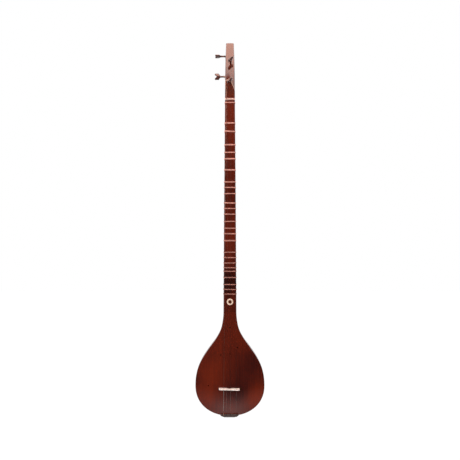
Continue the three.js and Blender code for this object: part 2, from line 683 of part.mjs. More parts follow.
function makeTailpiece() {
  const [half, foot, top] = [TAILPIECE_WIDTH / 2, TAILPIECE_FOOT_WIDTH / 2, TAILPIECE_TOP_WIDTH / 2];
  const outline = new THREE.Shape();
  outline.moveTo(-foot, 0);
  outline.lineTo(foot, 0);
  outline.quadraticCurveTo((foot + half) / 2, TAILPIECE_SHOULDER / 3, half, TAILPIECE_SHOULDER);
  outline.lineTo(top, TAILPIECE_HEIGHT);
  outline.lineTo(-top, TAILPIECE_HEIGHT);
  outline.lineTo(-half, TAILPIECE_SHOULDER);
  outline.quadraticCurveTo(-(foot + half) / 2, TAILPIECE_SHOULDER / 3, -foot, 0);
  const depth = TAILPIECE_FRONT + TAILPIECE_BACK;
  const block = new THREE.ExtrudeGeometry(outline, { depth, bevelEnabled: false, curveSegments: 6 });
  const place = new THREE.Matrix4().makeBasis(point(1, 0, 0), point(0, 0, 1), point(0, -1, 0));
  block.applyMatrix4(place.setPosition(TAILPIECE_OFFSET, TAILPIECE_BACK, 0));
  const under = box(point(-TAILPIECE_WIDTH, -TAILPIECE_BACK, -OVERRUN), point(TAILPIECE_WIDTH, 0, 0));
  under.rotateX(-Math.atan2(TAILPIECE_CHAMFER, TAILPIECE_FRONT));
  const seated = cut(block, under, bodySolid(-CLEARANCE, BOARD_START_ANGLE / COIL_STEPS, true));
  const pins = Object.values(STRINGS).map((string) => {
    const x = pinX(string);
    const from = point(x, -TAILPIECE_FRONT + PIN_RADIUS, PIN_HEIGHT);
    const to = point(x, -TAILPIECE_FRONT - PIN_LENGTH, PIN_HEIGHT);
    return rod(from, to, PIN_RADIUS, PIN_RADIUS, HOLE_SIDES);
  });
  add('tailpiece', join(seated, ...pins), pegWood);
}

// Tube with flat ends through the points, its rings turned without twist
function tube(points, radius) {
  const tangents = points.map((p, i) => {
    const ahead = points[Math.min(i + 1, points.length - 1)];
    return ahead.clone().sub(points[Math.max(i - 1, 0)]).normalize();
  });
  let side = point(1, 0, 0).cross(tangents[0]).normalize();
  const rings = points.map((p, i) => {
    side = side.clone().addScaledVector(tangents[i], -side.dot(tangents[i])).normalize();
    const other = tangents[i].clone().cross(side);
    return Array.from({ length: STRING_SIDES }, (_, k) => {
      const angle = (2 * Math.PI * k) / STRING_SIDES;
      const corner = p.clone().addScaledVector(side, radius * Math.cos(angle));
      return corner.addScaledVector(other, radius * Math.sin(angle));
    });
  });
  return loft(rings);
}

// Turns about a centre: the first point lies along start, the turn heads towards ahead and climbs along axis
function coil(centre, start, ahead, axis, radius, turns, pitch) {
  return Array.from({ length: Math.round(turns * COIL_STEPS) + 1 }, (_, i) => {
    const angle = (2 * Math.PI * i) / COIL_STEPS;
    const swing = start.clone().multiplyScalar(radius * Math.cos(angle));
    swing.addScaledVector(ahead, radius * Math.sin(angle));
    return centre.clone().add(swing).addScaledVector(axis, (pitch * i) / COIL_STEPS);
  });
}

// Loop on the tail pin, from its free end
function tailLoop(string) {
  const pitch = string.diameter + COIL_GAP;
  const centre = point(pinX(string), -TAILPIECE_FRONT - CLEARANCE - string.diameter / 2, PIN_HEIGHT);
  const radius = coilRadius(string, PIN_RADIUS);
  return coil(centre, point(-1, 0, 0), point(0, 0, -1), point(0, -1, 0), radius, 1, pitch).reverse();
}

// Turns on the peg shaft, then a short cut end
function pegCoil(string, peg) {
  const pitch = string.diameter + COIL_GAP;
  const start = peg.out.x === 0 ? point(1, 0, 0) : point(0, -1, 0);
  const stand = 2 * CLEARANCE + string.diameter / 2;
  const centre = peg.seat.clone().addScaledVector(peg.out, stand);
  const radius = coilRadius(string, PEG_RADIUS_AT_KNOB);
  const turns = coil(centre, start, point(0, 0, 1), peg.out, radius, COIL_TURNS, pitch);
  const end = turns[turns.length - 1].clone().add(point(0, 0, CUT_END));
  return [...turns, end.addScaledVector(peg.out, pitch / 2)];
}

// Where the string crosses the head: over the pointed step, and round the left edge to a side peg
function headRoute(string, peg) {
  const lift = CLEARANCE + string.diameter / 2 + CLEARANCE / 2;
  const corner = [];
  let goal = peg.seat.clone().add(point(coilRadius(string, PEG_RADIUS_AT_KNOB), 0, 0));
  if (peg.out.x !== 0) {
    const turnZ = peg.seat.z - SIDE_TURN;
    const { half } = headShape(turnZ);
    const face = slopeAt(turnZ);
    goal = point(-half, face - lift, turnZ - EDGE);
    corner.push(goal, point(-half - lift, face, turnZ + EDGE));
  }
  if (goal.z < stepEdge(goal.x)) return corner;
  let z = APEX_Z;
  const across = () => lerp(string.nut, goal.x, (z - NUT_Z) / (goal.z - NUT_Z));
  for (let i = 0; i < COIL_STEPS; i += 1) z = (z + stepEdge(across())) / 2;
  return [point(across(), -lift, z), ...corner];
}

function stringPath(string, peg) {
  const low = CLEARANCE + string.diameter / 2 - GROOVE_DEPTH;
  const bridgeHalf = BRIDGE_TOP_THICKNESS / 2;
  const nutHalf = NUT_THICKNESS / 2;
  return [
    ...tailLoop(string),
    point(string.bridge, BRIDGE_TOP_Y - low, BRIDGE_PLACE - bridgeHalf),
    point(string.bridge, BRIDGE_TOP_Y - low, BRIDGE_PLACE + bridgeHalf),
    point(string.nut, -NUT_RISE - low, NUT_Z - nutHalf),
    point(string.nut, -NUT_RISE - low, NUT_Z + nutHalf),
    ...headRoute(string, peg),
    ...pegCoil(string, peg),
  ];
}

// Smallest gap between a string and itself, measured between points more than a quarter turn apart
function leastGap(points, diameter) {
  let least = Infinity;
  for (let i = 0; i < points.length; i += 1) {
    for (let j = i + COIL_STEPS / 4; j < points.length; j += 1) {
      least = Math.min(least, points[i].distanceTo(points[j]) - diameter);
    }
  }
  return least;
}

function makeStrings(pegs) {
  for (const [name, string] of Object.entries(STRINGS)) {
    const points = stringPath(string, pegs[string.peg]);
    console.log(`${name}: least gap to itself ${leastGap(points, string.diameter).toFixed(2)} mm`);
    add(name, tube(points, string.diameter / 2), name === 'string_bass' ? bronze : steel);
  }
}

const pegs = planPegs();
makeSoundboard();
makeBowl();
makeTailBlock();
makeNeckBlock();
makeTailpiece();
makeNeck();
makeHead(pegs);
makeNut();
makeFrets();
makeInlay();
makeBridge();
makePegs(pegs);
makeStrings(pegs);

export default setar;
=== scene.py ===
"""Setar: smooth wood, gut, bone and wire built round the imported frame, in a plain white studio."""

import math

import bmesh
import bpy
from mathutils import Matrix, Vector


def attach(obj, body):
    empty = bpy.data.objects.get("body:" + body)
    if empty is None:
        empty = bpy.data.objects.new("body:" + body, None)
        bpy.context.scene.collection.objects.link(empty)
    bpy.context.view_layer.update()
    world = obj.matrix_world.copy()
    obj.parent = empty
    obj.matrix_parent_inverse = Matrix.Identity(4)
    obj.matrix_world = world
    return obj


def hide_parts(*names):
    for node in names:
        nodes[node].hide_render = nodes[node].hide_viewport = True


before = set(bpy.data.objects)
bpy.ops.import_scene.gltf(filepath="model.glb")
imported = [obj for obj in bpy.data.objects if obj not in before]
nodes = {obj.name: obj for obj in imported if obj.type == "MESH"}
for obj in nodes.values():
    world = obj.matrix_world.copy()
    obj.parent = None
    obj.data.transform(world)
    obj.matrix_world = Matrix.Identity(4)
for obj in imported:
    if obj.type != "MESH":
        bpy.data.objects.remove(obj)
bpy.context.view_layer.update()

# Camera and floor, metres
EYE = (0.0001, -0.93, 0.4263)
SENSOR = 36
LENS = 31.98
FLOOR_Z = -0.32
FLOOR_FRONT = -0.92
FLOOR_BACK = 4.0
FLOOR_SIDE = 4.0

# Room that polished wood mirrors: where each part of it starts, and how bright it is
BEHIND_LIMITS = (-0.3, 0.2)
LEFT_LIMITS = (0.5, -0.5)
LEFT_LEVEL = 0.04
CEILING_LIMITS = (0.44, 0.53)
CEILING_LEVEL = 9.5
BACK_CEILING_LEVEL = 1.6
WARM_CEILING = (1, 0.67, 0.55)
SIDE_LIMITS = (0.4, 0.6)
SIDE_HEIGHTS = (0.358, 0.423)
SIDE_LEVEL = 3.5
MATT_LEVEL = 0.55

# White paper: its glow, how much of it is its own light, and the lit strip that polish mirrors
PAPER_GLOW = 1.12
PAPER_OWN_LIGHT = 0.85
STRIP_EDGES = (0.03, 0.2)
STRIP_LEVELS = (0.85, 0.22)
STRIP_FADE = 0.35
PAPER_BEHIND = (-0.2, 0.2)

# Softboxes: place, aim, width, height, watts, colour, and whether polished wood mirrors it
SOFTBOXES = {
    "softbox_above": ((0, -1.2, 1.66), (0, 0, 0.6), 0.9, 0.42, 8, (1, 0.84, 0.76), False),
    "softbox_left": ((-1.5, -1.3, 1.1), (0, 0, 0.4), 0.7, 0.9, 18, (1, 1, 1), True),
}

# Everything below is in millimetres, and each piece is brought to metres when it is finished
MM = 0.001
MERGE = 0.0005

# Bowl and soundboard; a patch is a place (x, z), a radius and how much lighter it is
STRING_LENGTH = 658
BRIDGE_PLACE = 66.2
BOWL_WIDTH = 157.2
BOWL_DEPTH = 127
BELLY_LENGTH = 69
WIDEST_Z = 72.5
JOINT_Z = 240
BOARD_THICKNESS = 3
BOARD_ARCH = 3.5
BOARD_START_ANGLE = 8
BOARD_EDGE = 0.5
BOARD_COLUMNS = 26
BELLY_STEPS = 26
SHOULDER_STEPS = 52
RIB_THICKNESS = 3
RIB_COUNT = 11
RIB_COLUMNS = 8
RIB_TIP_ANGLE = 2
RIB_EDGE = 0.2
GLUE_LINE = 0.07
ROUNDNESS = 2.17
RIM_Y = 3.3
SHOULDER_SHARES = [1, 0.978, 0.898, 0.738, 0.52, 0.282, 0.106, 0.0262, 0]
# The soundboard is lighter on the left and low at both sides, darker round the bridge and high on
# the right
BOARD_PATCHES = [
    (-42, 92, 55, 0.35), (-76, 88, 22, -0.3), (48, 123, 62, -0.5), (60, 44, 40, 0.6),
    (-52, 46, 34, 0.4), (10, 54, 36, -0.3), (8, 74, 62, -0.34), (34, 64, 40, -0.2),
]
SOUND_HOLE_RADIUS = 1.4
SOUND_HOLE_SHARES = [
    (-0.262, 0.418), (0.004, 0.433), (0.216, 0.516), (-0.008, 0.789), (-0.618, 0.001),
]

# Neck
NUT_Z = 724.2
SPLICE_Z = 731.2
GLUE_GAP = 0.3
NECK_WIDTHS = (29.5, 22.6)
NECK_DEPTHS = (30, 24)
NECK_SWELL = 0.25
NECK_EDGE = 1.1
NECK_ROWS = 22
NUT_SLOT = 2.55
NUT_SLOT_FLOOR = 2.5
NUT_SLOT_EDGE = 0.3
# The neck is lighter towards the nut and round z 400 and 548, darker round z 306 and 498
NECK_PATCHES = [
    (6, 680, 130, 0.35), (0, 548, 34, 0.15), (0, 498, 30, -0.15), (4, 400, 60, 0.25),
    (0, 306, 42, -0.6),
]
INLAY_Z = 262.8
INLAY_MARGIN = 13
INLAY_RADIUS = 7.4
INLAY_HOLE = 4
INLAY_THICKNESS = 1.4
INLAY_EASE = 0.12
INLAY_SIDES = 64
INLAY_SEAT_RADIUS = INLAY_RADIUS + 0.1
INLAY_SEAT_DEPTH = INLAY_THICKNESS + 0.05
DISC_RADIUS = INLAY_HOLE - 0.08
DISC_SINK = 0.05

# Head
TOP_Z = 856.1
HEAD_TOP_HALF = 9.2
HEAD_TOP_DEPTH = 21
HEAD_WAIST_SHARES = [1, 0.99, 0.985, 0.97, 0.93, 0.87, 0.815]
HEAD_SQUARENESS = 4.6
HEAD_SHOULDER = 24
HEAD_EDGE = 3
HEAD_COLUMNS = 16
APEX_Z = 769.7
STEP_ACROSS = 0.3
STEP_LEFT_FALL = 0.35
STEP_RIGHT_FALL = 2.5
STEP_DEPTH = 3
STEP_LEAN = 0.8
STEP_LEAN_RIGHT = 2
HOLLOW_DEPTH = 0.36
HOLLOW_HEIGHT = 19
HEAD_SLOPE = math.tan(math.radians(4.4))
RISER_EDGE = 1.2
RISER_TILT = 0.25
RISER_REACH = 8
RISER_SKIN = (0.05, 0.2)
STEP_FADE = 60

# Rows of the head: below the step (height, share of the step), on the riser, the face, the top
TONGUE_ROWS = [
    (SPLICE_Z + GLUE_GAP, 0), (740, 0.3), (750, 0.62), (760, 0.88),
    (APEX_Z - 1.2, 1), (APEX_Z - 0.3, 1),
]
RISER_SHARES = (0.04, 0.12, 0.4, 0.7, 0.92, 0.98)
FACE_RISES = (0.5, 2, 4, 6, 9, 12, 16, 21, 27, 34)
UPPER_FACE = (APEX_Z + 46, TOP_Z - 0.8)
UPPER_ROWS = 6
TOP_ROWS = [(TOP_Z - 0.25, 0.15), (TOP_Z, 0.5)]

# Nut, bridge and tailpiece
NUT_THICKNESS = 4.5
NUT_SEAT = 2.2
NUT_RISE = 1.9
NUT_EDGE = 1
NUT_END_ROUND = 0.6
NUT_END_DROP = 0.5
GROOVE_DEPTH = 0.5
GROOVE_HALF = 0.3
GROOVE_WALL = 0.05
BRIDGE_OFFSET = -1.5
BRIDGE_TILT = 0.025
BRIDGE_WIDTH = 47
BRIDGE_HEIGHT = 7.4
BRIDGE_FOOT = 3.8
BRIDGE_TOP = 1.9
BRIDGE_ARCH_HALF = 5
BRIDGE_ARCH_HEIGHT = 2.4
BRIDGE_ARCH_ROWS = 12
BRIDGE_FOOT_EASE = 0.25
BRIDGE_TOP_EASE = ((0.12, 0.18), (0.45, 0))
BRIDGE_REST = 1.1
BRIDGE_END_ROUND = 2
BRIDGE_END_ROWS = (0.1, 0.3, 0.7, 1.2, 1.8)
BRIDGE_BASE_Y = -3.8
BRIDGE_TOP_Y = BRIDGE_BASE_Y - BRIDGE_HEIGHT
TAILPIECE_FRONT = 4.2
TAILPIECE_EDGE = 0.35
PIN_HEIGHT = 4.6
PIN_RADIUS = 1

# Gut frets: share of the string length below the nut, turns, slope across the neck
GUT_RADIUS = 0.36
GUT_PITCH = 0.74
GUT_LIFT = 0.46
GUT_SIDES = 8
BINDING_Z = NUT_Z - 7.6
BINDING_TURNS = 3
KNOT_ANGLE = math.radians(157)
KNOT_LIFT = 1.7
KNOT_SINK = 0.75
KNOT_STATIONS = (-1.35, -1.1, -0.7, -0.2, 0.3, 0.8, 1.15, 1.4)
KNOT_ROWS = 28
KNOT_SIDES = 12
KNOT_WIDTH = 1.6
KNOT_LENGTH = 1.5
FRETS = [
    (0.0826, 4, 0), (0.1113, 4, -0.05), (0.1578, 4, 0.01), (0.1841, 3, 0), (0.2062, 4, 0.01),
    (0.2448, 4, -0.015), (0.2864, 3, 0), (0.3055, 3, 0), (0.3268, 3, 0.01), (0.3592, 4, -0.02),
    (0.3783, 3, -0.02), (0.3980, 3, 0), (0.4230, 3, 0.01), (0.4467, 3, 0), (0.4655, 4, -0.015),
    (0.4895, 4, 0), (0.5297, 3, 0.015), (0.5482, 3, 0), (0.5669, 3, 0.02), (0.5832, 3, -0.01),
    (0.5955, 3, 0), (0.6170, 3, 0), (0.6413, 3, 0), (0.6583, 3, -0.01), (0.6744, 3, 0),
]

# Pegs: front ones by x and height above the nut, side ones by that height and their wings' way
FRONT_PEGS = {"peg_front_lower": (0, 36.4), "peg_front_upper": (1.6, 85.8)}
SIDE_PEGS = {"peg_side_lower": (54.3, (0, 0, 1)), "peg_side_upper": (102.5, (0, 1, 0))}
SIDE_PEG_SET_BACK = 5.5
PEG_RADII = (1.6, 1.95)
PEG_TIP_SHORT = 0.5
PEG_SHAFT = 11.3
PEG_SIDES = 32
PEG_COLLAR = 0.3
PEG_COLLAR_ROWS = [(1.9, 0), (1.5, PEG_COLLAR), (1.1, PEG_COLLAR), (0.5, PEG_COLLAR), (0.1, 0)]
FRONT_KNOB_ANGLE = math.radians(38)
KNOB_LENGTH = 12.7
KNOB_HALF = 7.3
KNOB_THICKNESS = 5.6
KNOB_SQUARENESS = 2.3
KNOB_FLARE = 0.34
KNOB_NOTCH = 5
KNOB_LOBE = 0.64
KNOB_BLUNTING = 0.7
KNOB_END = 0.9
KNOB_END_ROUND = 0.8
KNOB_ROWS = [k / 14 for k in range(1, 12)] + [0.85, 0.9, 0.93, 0.96, 0.98, 0.993, 1]

# Strings, left to right: diameter, x at tail, bridge and nut, the peg and the turns on it
STRINGS = {
    "string_bass": (0.45, -14.9, -14, -7.8, "peg_side_lower", 4),
    "string_octave": (0.25, -9.2, -6.9, -4.9, "peg_side_upper", 7),
    "string_second": (0.25, 0.9, 1.3, 2.4, "peg_front_lower", 7),
    "string_first": (0.25, 13.4, 14.4, 8, "peg_front_upper", 7),
}
STRING_GAP = 0.02
HEAD_GAP = 0.3
CORNER_DROP = 8
COIL_SIDES = 24
COIL_PLACE = 0.6
COIL_TAPER = 0.75
COIL_FIT = 0.05
COIL_GAP = 0.04
LOOP_TURNS = 9

# Layers of each finish: scale and detail of its noise, and how that is stretched
STAIN = (14.0, 2.0, (1, 1, 0.35))
RINGS = (260.0, 3.0, (1, 1, 0.035))
FIBRE = (1500.0, 3.0, (1, 1, 0.03))
PORES = (2200.0, 2.0, (1, 1, 0.06))
BARE_GRAIN = (400.0, 4.0, (1, 1, 0.05))
STREAKS = (500.0, 3.0, (0.15, 1, 1))
PITS = (2600.0, 1.0, (1, 1, 1))
TINT = (180.0, 2.0, (1, 1, 1))
TARNISH = (300.0, 2.0, (1, 1, 1))

# What is made of them
TONE_LIMITS = (0.36, 0.64)
FIBRE_SHARE = 0.25
PORE_LIMITS = (0.6, 0.72)
PORE_SHARE = 0.45
PORE_SHADE = 0.35
PIT_LIMITS = (0.68, 0.76)
PIT_SHARE = 0.3
PIT_SHADE = 0.6
TWISTS = 420.0
TWIST_SHARE = 0.4
PALE_GUT_HEIGHTS = (0.26, 0.62)
PALE_GUT = 0.6
GUT_SHADE = 0.3
# Wire behind the bridge is lighter: partly unplayed wire, partly a painted highlight
UNPLAYED_GLINT_FROM = (0.01, 0.02)
UNPLAYED_GLINT_TO = (BRIDGE_PLACE * MM - 0.003, BRIDGE_PLACE * MM)
UNPLAYED_GLINT_GAIN = 5


def mix(a, b, t):
    return a + (b - a) * t


def clamp(t):
    return min(max(t, 0), 1)


def circle(sides):
    angles = [2 * math.pi * k / sides for k in range(sides)]
    return [(math.cos(angle), math.sin(angle)) for angle in angles]


def squared(value, squareness):
    """Bends a sine or cosine so that the curve drawn with both is a superellipse."""
    return math.copysign(abs(value) ** (2 / squareness), value)


def add_object(name, data):
    made = bpy.data.objects.new(name, data)
    bpy.context.scene.collection.objects.link(made)
    return made


# Studio

def make_camera():
    data = bpy.data.cameras.new("camera")
    data.sensor_width = SENSOR
    data.lens = LENS
    camera = add_object("camera", data)
    camera.location = EYE
    camera.rotation_euler = (math.pi / 2, 0, 0)
    bpy.context.scene.camera = camera


def step(tree, kind, inputs=(), **settings):
    """Adds a node with its options, its inputs filled with values or other nodes' outputs."""
    made = tree.nodes.new(kind)
    for key, value in settings.items():
        setattr(made, key, value)
    for key, value in dict(inputs).items():
        if isinstance(value, bpy.types.NodeSocket):
            tree.links.new(value, made.inputs[key])
        else:
            made.inputs[key].default_value = value
    return made


def maths(tree, operation, a, b=0.0, limited=False):
    made = step(tree, "ShaderNodeMath", {0: a, 1: b}, operation=operation, use_clamp=limited)
    return made.outputs[0]


def times(tree, a, b):
    return maths(tree, "MULTIPLY", a, b)


def axes_of(tree, vector):
    return step(tree, "ShaderNodeSeparateXYZ", {"Vector": vector}).outputs


def smooth_range(tree, value, low, high, to_low=0.0, to_high=1.0):
    inputs = {"Value": value, "From Min": low, "From Max": high,
              "To Min": to_low, "To Max": to_high}
    return step(tree, "ShaderNodeMapRange", inputs, interpolation_type="SMOOTHSTEP").outputs[0]


def blend_values(tree, share, a, b):
    return step(tree, "ShaderNodeMix", {0: share, 2: a, 3: b}).outputs[0]


def blend_colours(tree, share, a, b):
    sockets = {0: share, 6: a if isinstance(a, bpy.types.NodeSocket) else (*a, 1)}
    sockets[7] = b if isinstance(b, bpy.types.NodeSocket) else (*b, 1)
    return step(tree, "ShaderNodeMix", sockets, data_type="RGBA").outputs[2]


def make_studio():
    """White behind the setar; in front a dark room, lighter on the left, under a warm ceiling.

    Only polish mirrors the room. The camera sees plain white, and matt surfaces get an even light.
    """
    world = bpy.data.worlds.new("studio")
    bpy.context.scene.world = world
    world.use_nodes = True
    tree = world.node_tree
    tree.nodes.clear()
    light = step(tree, "ShaderNodeLightPath").outputs
    direction = step(tree, "ShaderNodeTexCoord").outputs["Generated"]
    axes = axes_of(tree, direction)
    behind = smooth_range(tree, axes["Y"], *BEHIND_LIMITS)
    front = maths(tree, "SUBTRACT", 1.0, behind)
    left = smooth_range(tree, axes["X"], *LEFT_LIMITS, 0.0, LEFT_LEVEL)
    overhead = smooth_range(tree, axes["Z"], *CEILING_LIMITS)
    ceiling = blend_values(tree, front, BACK_CEILING_LEVEL, CEILING_LEVEL)
    ceiling = times(tree, overhead, ceiling)
    side = smooth_range(tree, maths(tree, "ABSOLUTE", axes["X"]), *SIDE_LIMITS)
    side = times(tree, side, smooth_range(tree, axes["Z"], *SIDE_HEIGHTS))
    room = times(tree, side, SIDE_LEVEL)
    for part in (behind, left, ceiling):
        room = maths(tree, "MAXIMUM", room, part)
    level = blend_values(tree, light["Is Glossy Ray"], MATT_LEVEL, room)
    level = blend_values(tree, light["Is Camera Ray"], level, 1.0)
    warm = times(tree, times(tree, overhead, front), light["Is Glossy Ray"])
    colour = blend_colours(tree, warm, (1, 1, 1), WARM_CEILING)
    background = step(tree, "ShaderNodeBackground", {"Color": colour, "Strength": level})
    output = step(tree, "ShaderNodeOutputWorld")
    tree.links.new(background.outputs[0], output.inputs["Surface"])


def add_softbox(name, place, aim, width, height, power, colour, seen):
    data = bpy.data.lights.new(name, "AREA")
    data.shape = "RECTANGLE"
    data.size = width
    data.size_y = height
    data.energy = power
    data.color = colour
    lamp = add_object(name, data)
    lamp.location = place
    lamp.visible_glossy = seen
    lamp.rotation_euler = (Vector(aim) - Vector(place)).to_track_quat("-Z", "Y").to_euler()


def white_paper():
    """Paper that gives most of its light itself, so that it is white to the camera."""
    paper = bpy.data.materials.new("white_paper")
    paper.use_nodes = True
    tree = paper.node_tree
    tree.nodes.clear()
    light = step(tree, "ShaderNodeLightPath").outputs
    place = step(tree, "ShaderNodeTexCoord").outputs["Object"]
    axes = axes_of(tree, place)
    seen = maths(tree, "MAXIMUM", light["Is Camera Ray"], light["Is Glossy Ray"])
    seen = maths(tree, "MAXIMUM", seen, light["Is Transmission Ray"])
    strip = smooth_range(tree, maths(tree, "ABSOLUTE", axes["X"]), *STRIP_EDGES, *STRIP_LEVELS)
    fade = smooth_range(tree, axes["Y"], FLOOR_FRONT, FLOOR_FRONT + STRIP_FADE)
    strip = times(tree, strip, fade)
    strip = maths(tree, "MAXIMUM", strip, smooth_range(tree, axes["Y"], *PAPER_BEHIND))
    dimmed = times(tree, light["Is Glossy Ray"], maths(tree, "SUBTRACT", 1.0, strip))
    glow = times(tree, maths(tree, "SUBTRACT", 1.0, dimmed), PAPER_GLOW)
    matt = step(tree, "ShaderNodeBsdfDiffuse", {"Color": (0.9, 0.9, 0.9, 1)})
    white = step(tree, "ShaderNodeEmission", {"Color": (1, 1, 1, 1), "Strength": glow})
    share = times(tree, seen, PAPER_OWN_LIGHT)
    mixed = step(tree, "ShaderNodeMixShader", {0: share, 1: matt.outputs[0], 2: white.outputs[0]})
    output = step(tree, "ShaderNodeOutputMaterial")
    tree.links.new(mixed.outputs[0], output.inputs["Surface"])
    return paper


def make_floor():
    bm = bmesh.new()
    bmesh.ops.create_grid(bm, x_segments=1, y_segments=1, size=1)
    depth = (FLOOR_BACK - FLOOR_FRONT) / 2
    bmesh.ops.scale(bm, vec=(FLOOR_SIDE, depth, 1), verts=bm.verts)
    bmesh.ops.translate(bm, vec=(0, FLOOR_FRONT + depth, FLOOR_Z), verts=bm.verts)
    mesh = bpy.data.meshes.new("floor")
    bm.to_mesh(mesh)
    bm.free()
    mesh.materials.append(white_paper())
    floor = add_object("floor", mesh)


# Finishes

def new_finish(name):
    material = bpy.data.materials.new(name)
    material.use_nodes = True
    tree = material.node_tree
    place = step(tree, "ShaderNodeTexCoord").outputs["Object"]
    return material, tree, tree.nodes["Principled BSDF"], place


def noise(tree, place, scale, detail, stretch):
    along = step(tree, "ShaderNodeMapping", {"Vector": place, "Scale": stretch}).outputs[0]
    inputs = {"Vector": along, "Scale": scale, "Detail": detail}
    return step(tree, "ShaderNodeTexNoise", inputs).outputs[0]


def set_inputs(shader, values):
    for key, value in values.items():
        shader.inputs[key].default_value = value


def add_bump(tree, shader, height, strength, distance, invert=False):
    inputs = {"Strength": strength, "Distance": distance, "Height": height}
    bump = step(tree, "ShaderNodeBump", inputs, invert=invert)
    tree.links.new(bump.outputs[0], shader.inputs["Normal"])


def varnished_wood(name, dark, light, grain=1.0, patches=(), coat_roughness=0.08):
    """Straight grain along the neck, broad stain and fine dark pores under a clear coat.

    Grain is how far it swings between the two colours; patches make it lighter or darker in places.
    """
    material, tree, shader, place = new_finish(name)
    fibre = noise(tree, place, *FIBRE)
    pores = smooth_range(tree, noise(tree, place, *PORES), *PORE_LIMITS)
    tone = blend_values(tree, 0.5, noise(tree, place, *STAIN), noise(tree, place, *RINGS))
    tone = blend_values(tree, FIBRE_SHARE, tone, fibre)
    tone = smooth_range(tree, tone, *TONE_LIMITS, 0.5 - grain / 2, 0.5 + grain / 2)
    for x, z, radius, change in patches:
        middle = (x * MM, 0, z * MM)
        away = step(tree, "ShaderNodeVectorMath", {0: place, 1: middle}, operation="DISTANCE")
        spot = smooth_range(tree, away.outputs["Value"], 0.0, radius * MM, change, 0.0)
        tone = maths(tree, "ADD", tone, spot)
    tone = step(tree, "ShaderNodeClamp", {"Value": tone}).outputs[0]
    colour = blend_colours(tree, tone, dark, light)
    shade = tuple(c * PORE_SHADE for c in dark)
    colour = blend_colours(tree, times(tree, pores, PORE_SHARE), colour, shade)
    tree.links.new(colour, shader.inputs["Base Color"])
    set_inputs(shader, {"Roughness": 0.5, "Specular IOR Level": 0.05})
    set_inputs(shader, {"Coat Weight": 1.0, "Coat Roughness": coat_roughness})
    height = maths(tree, "SUBTRACT", times(tree, fibre, 0.35), pores)
    add_bump(tree, shader, height, 0.15, 0.0001)
    return material


def bare_wood(name, dark, light):
    material, tree, shader, place = new_finish(name)
    grain = smooth_range(tree, noise(tree, place, *BARE_GRAIN), 0.35, 0.65)
    tree.links.new(blend_colours(tree, grain, dark, light), shader.inputs["Base Color"])
    set_inputs(shader, {"Roughness": 0.8})
    return material


def polished_bone(name, dark, light):
    """Pale bone with faint long streaks and small dark pits."""
    material, tree, shader, place = new_finish(name)
    streaks = smooth_range(tree, noise(tree, place, *STREAKS), 0.3, 0.7)
    pits = smooth_range(tree, noise(tree, place, *PITS), *PIT_LIMITS)
    colour = blend_colours(tree, streaks, dark, light)
    shade = tuple(c * PIT_SHADE for c in dark)
    colour = blend_colours(tree, times(tree, pits, PIT_SHARE), colour, shade)
    tree.links.new(colour, shader.inputs["Base Color"])
    set_inputs(shader, {"Roughness": 0.38})
    set_inputs(shader, {"Subsurface Weight": 0.15, "Subsurface Radius": (0.002, 0.0012, 0.0008)})
    add_bump(tree, shader, pits, 0.08, 0.0001, invert=True)
    return material


def twisted_gut(name, dark, light):
    """Creamy gut with the fine slanting lines of its twist, paler up the neck."""
    material, tree, shader, place = new_finish(name)
    twist = step(tree, "ShaderNodeTexWave", {"Vector": place, "Scale": TWISTS, "Distortion": 1.5},
                 wave_type="BANDS", bands_direction="DIAGONAL").outputs["Fac"]
    height = axes_of(tree, place)["Z"]
    tone = blend_values(tree, TWIST_SHARE, noise(tree, place, *TINT), twist)
    tone = maths(tree, "ADD", tone, smooth_range(tree, height, *PALE_GUT_HEIGHTS, 0.0, PALE_GUT))
    tone = maths(tree, "SUBTRACT", tone, GUT_SHADE, limited=True)
    tree.links.new(blend_colours(tree, tone, dark, light), shader.inputs["Base Color"])
    set_inputs(shader, {"Roughness": 0.42, "Specular IOR Level": 0.25})
    add_bump(tree, shader, twist, 0.3, 0.00008)
    return material


def drawn_wire(name, dark, light, turns=0.0):
    """Wire, dull where played, brighter behind the bridge as unplayed wire with a painted highlight;
    turns is windings in a metre.
    """
    material, tree, shader, place = new_finish(name)
    height = axes_of(tree, place)["Z"]
    unplayed_glint = smooth_range(tree, height, *UNPLAYED_GLINT_TO, 1.0, 0.0)
    unplayed_glint = times(tree, unplayed_glint, smooth_range(tree, height, *UNPLAYED_GLINT_FROM))
    dull = blend_colours(tree, noise(tree, place, *TARNISH), dark, light)
    # painted highlight: behind the bridge the wire takes a colour several times lighter than its own
    bright = tuple(min(UNPLAYED_GLINT_GAIN * c, 1) for c in light)
    tree.links.new(blend_colours(tree, unplayed_glint, dull, bright), shader.inputs["Base Color"])
    set_inputs(shader, {"Metallic": 1.0, "Roughness": 0.28})
    if turns:
        wound = step(tree, "ShaderNodeTexWave", {"Vector": place, "Scale": turns},
                     wave_type="BANDS", bands_direction="Z").outputs["Fac"]
        add_bump(tree, shader, wound, 0.6, 0.00006)
    return material


# Making pieces

def skin(bm, around, along, place):
    """Lays a grid over a surface: place(i, j) is the point of column i and row j along it."""
    made = bmesh.ops.create_grid(bm, x_segments=around, y_segments=along, size=0.5)
    for vert in made["verts"]:
        i = round((vert.co.x + 0.5) * around)
        j = round((vert.co.y + 0.5) * along)
        vert.co = place(i, j)
    bmesh.ops.remove_doubles(bm, verts=made["verts"], dist=MERGE)


def skin_rings(bm, rings, closed=False):
    """Closed surface through rings of equal point counts, its ends capped or joined."""
    count, rows = len(rings[0]), len(rings)
    skin(bm, count, rows if closed else rows - 1, lambda i, j: rings[j % rows][i % count])
    if not closed:
        bmesh.ops.holes_fill(bm, edges=[edge for edge in bm.edges if edge.is_boundary], sides=0)


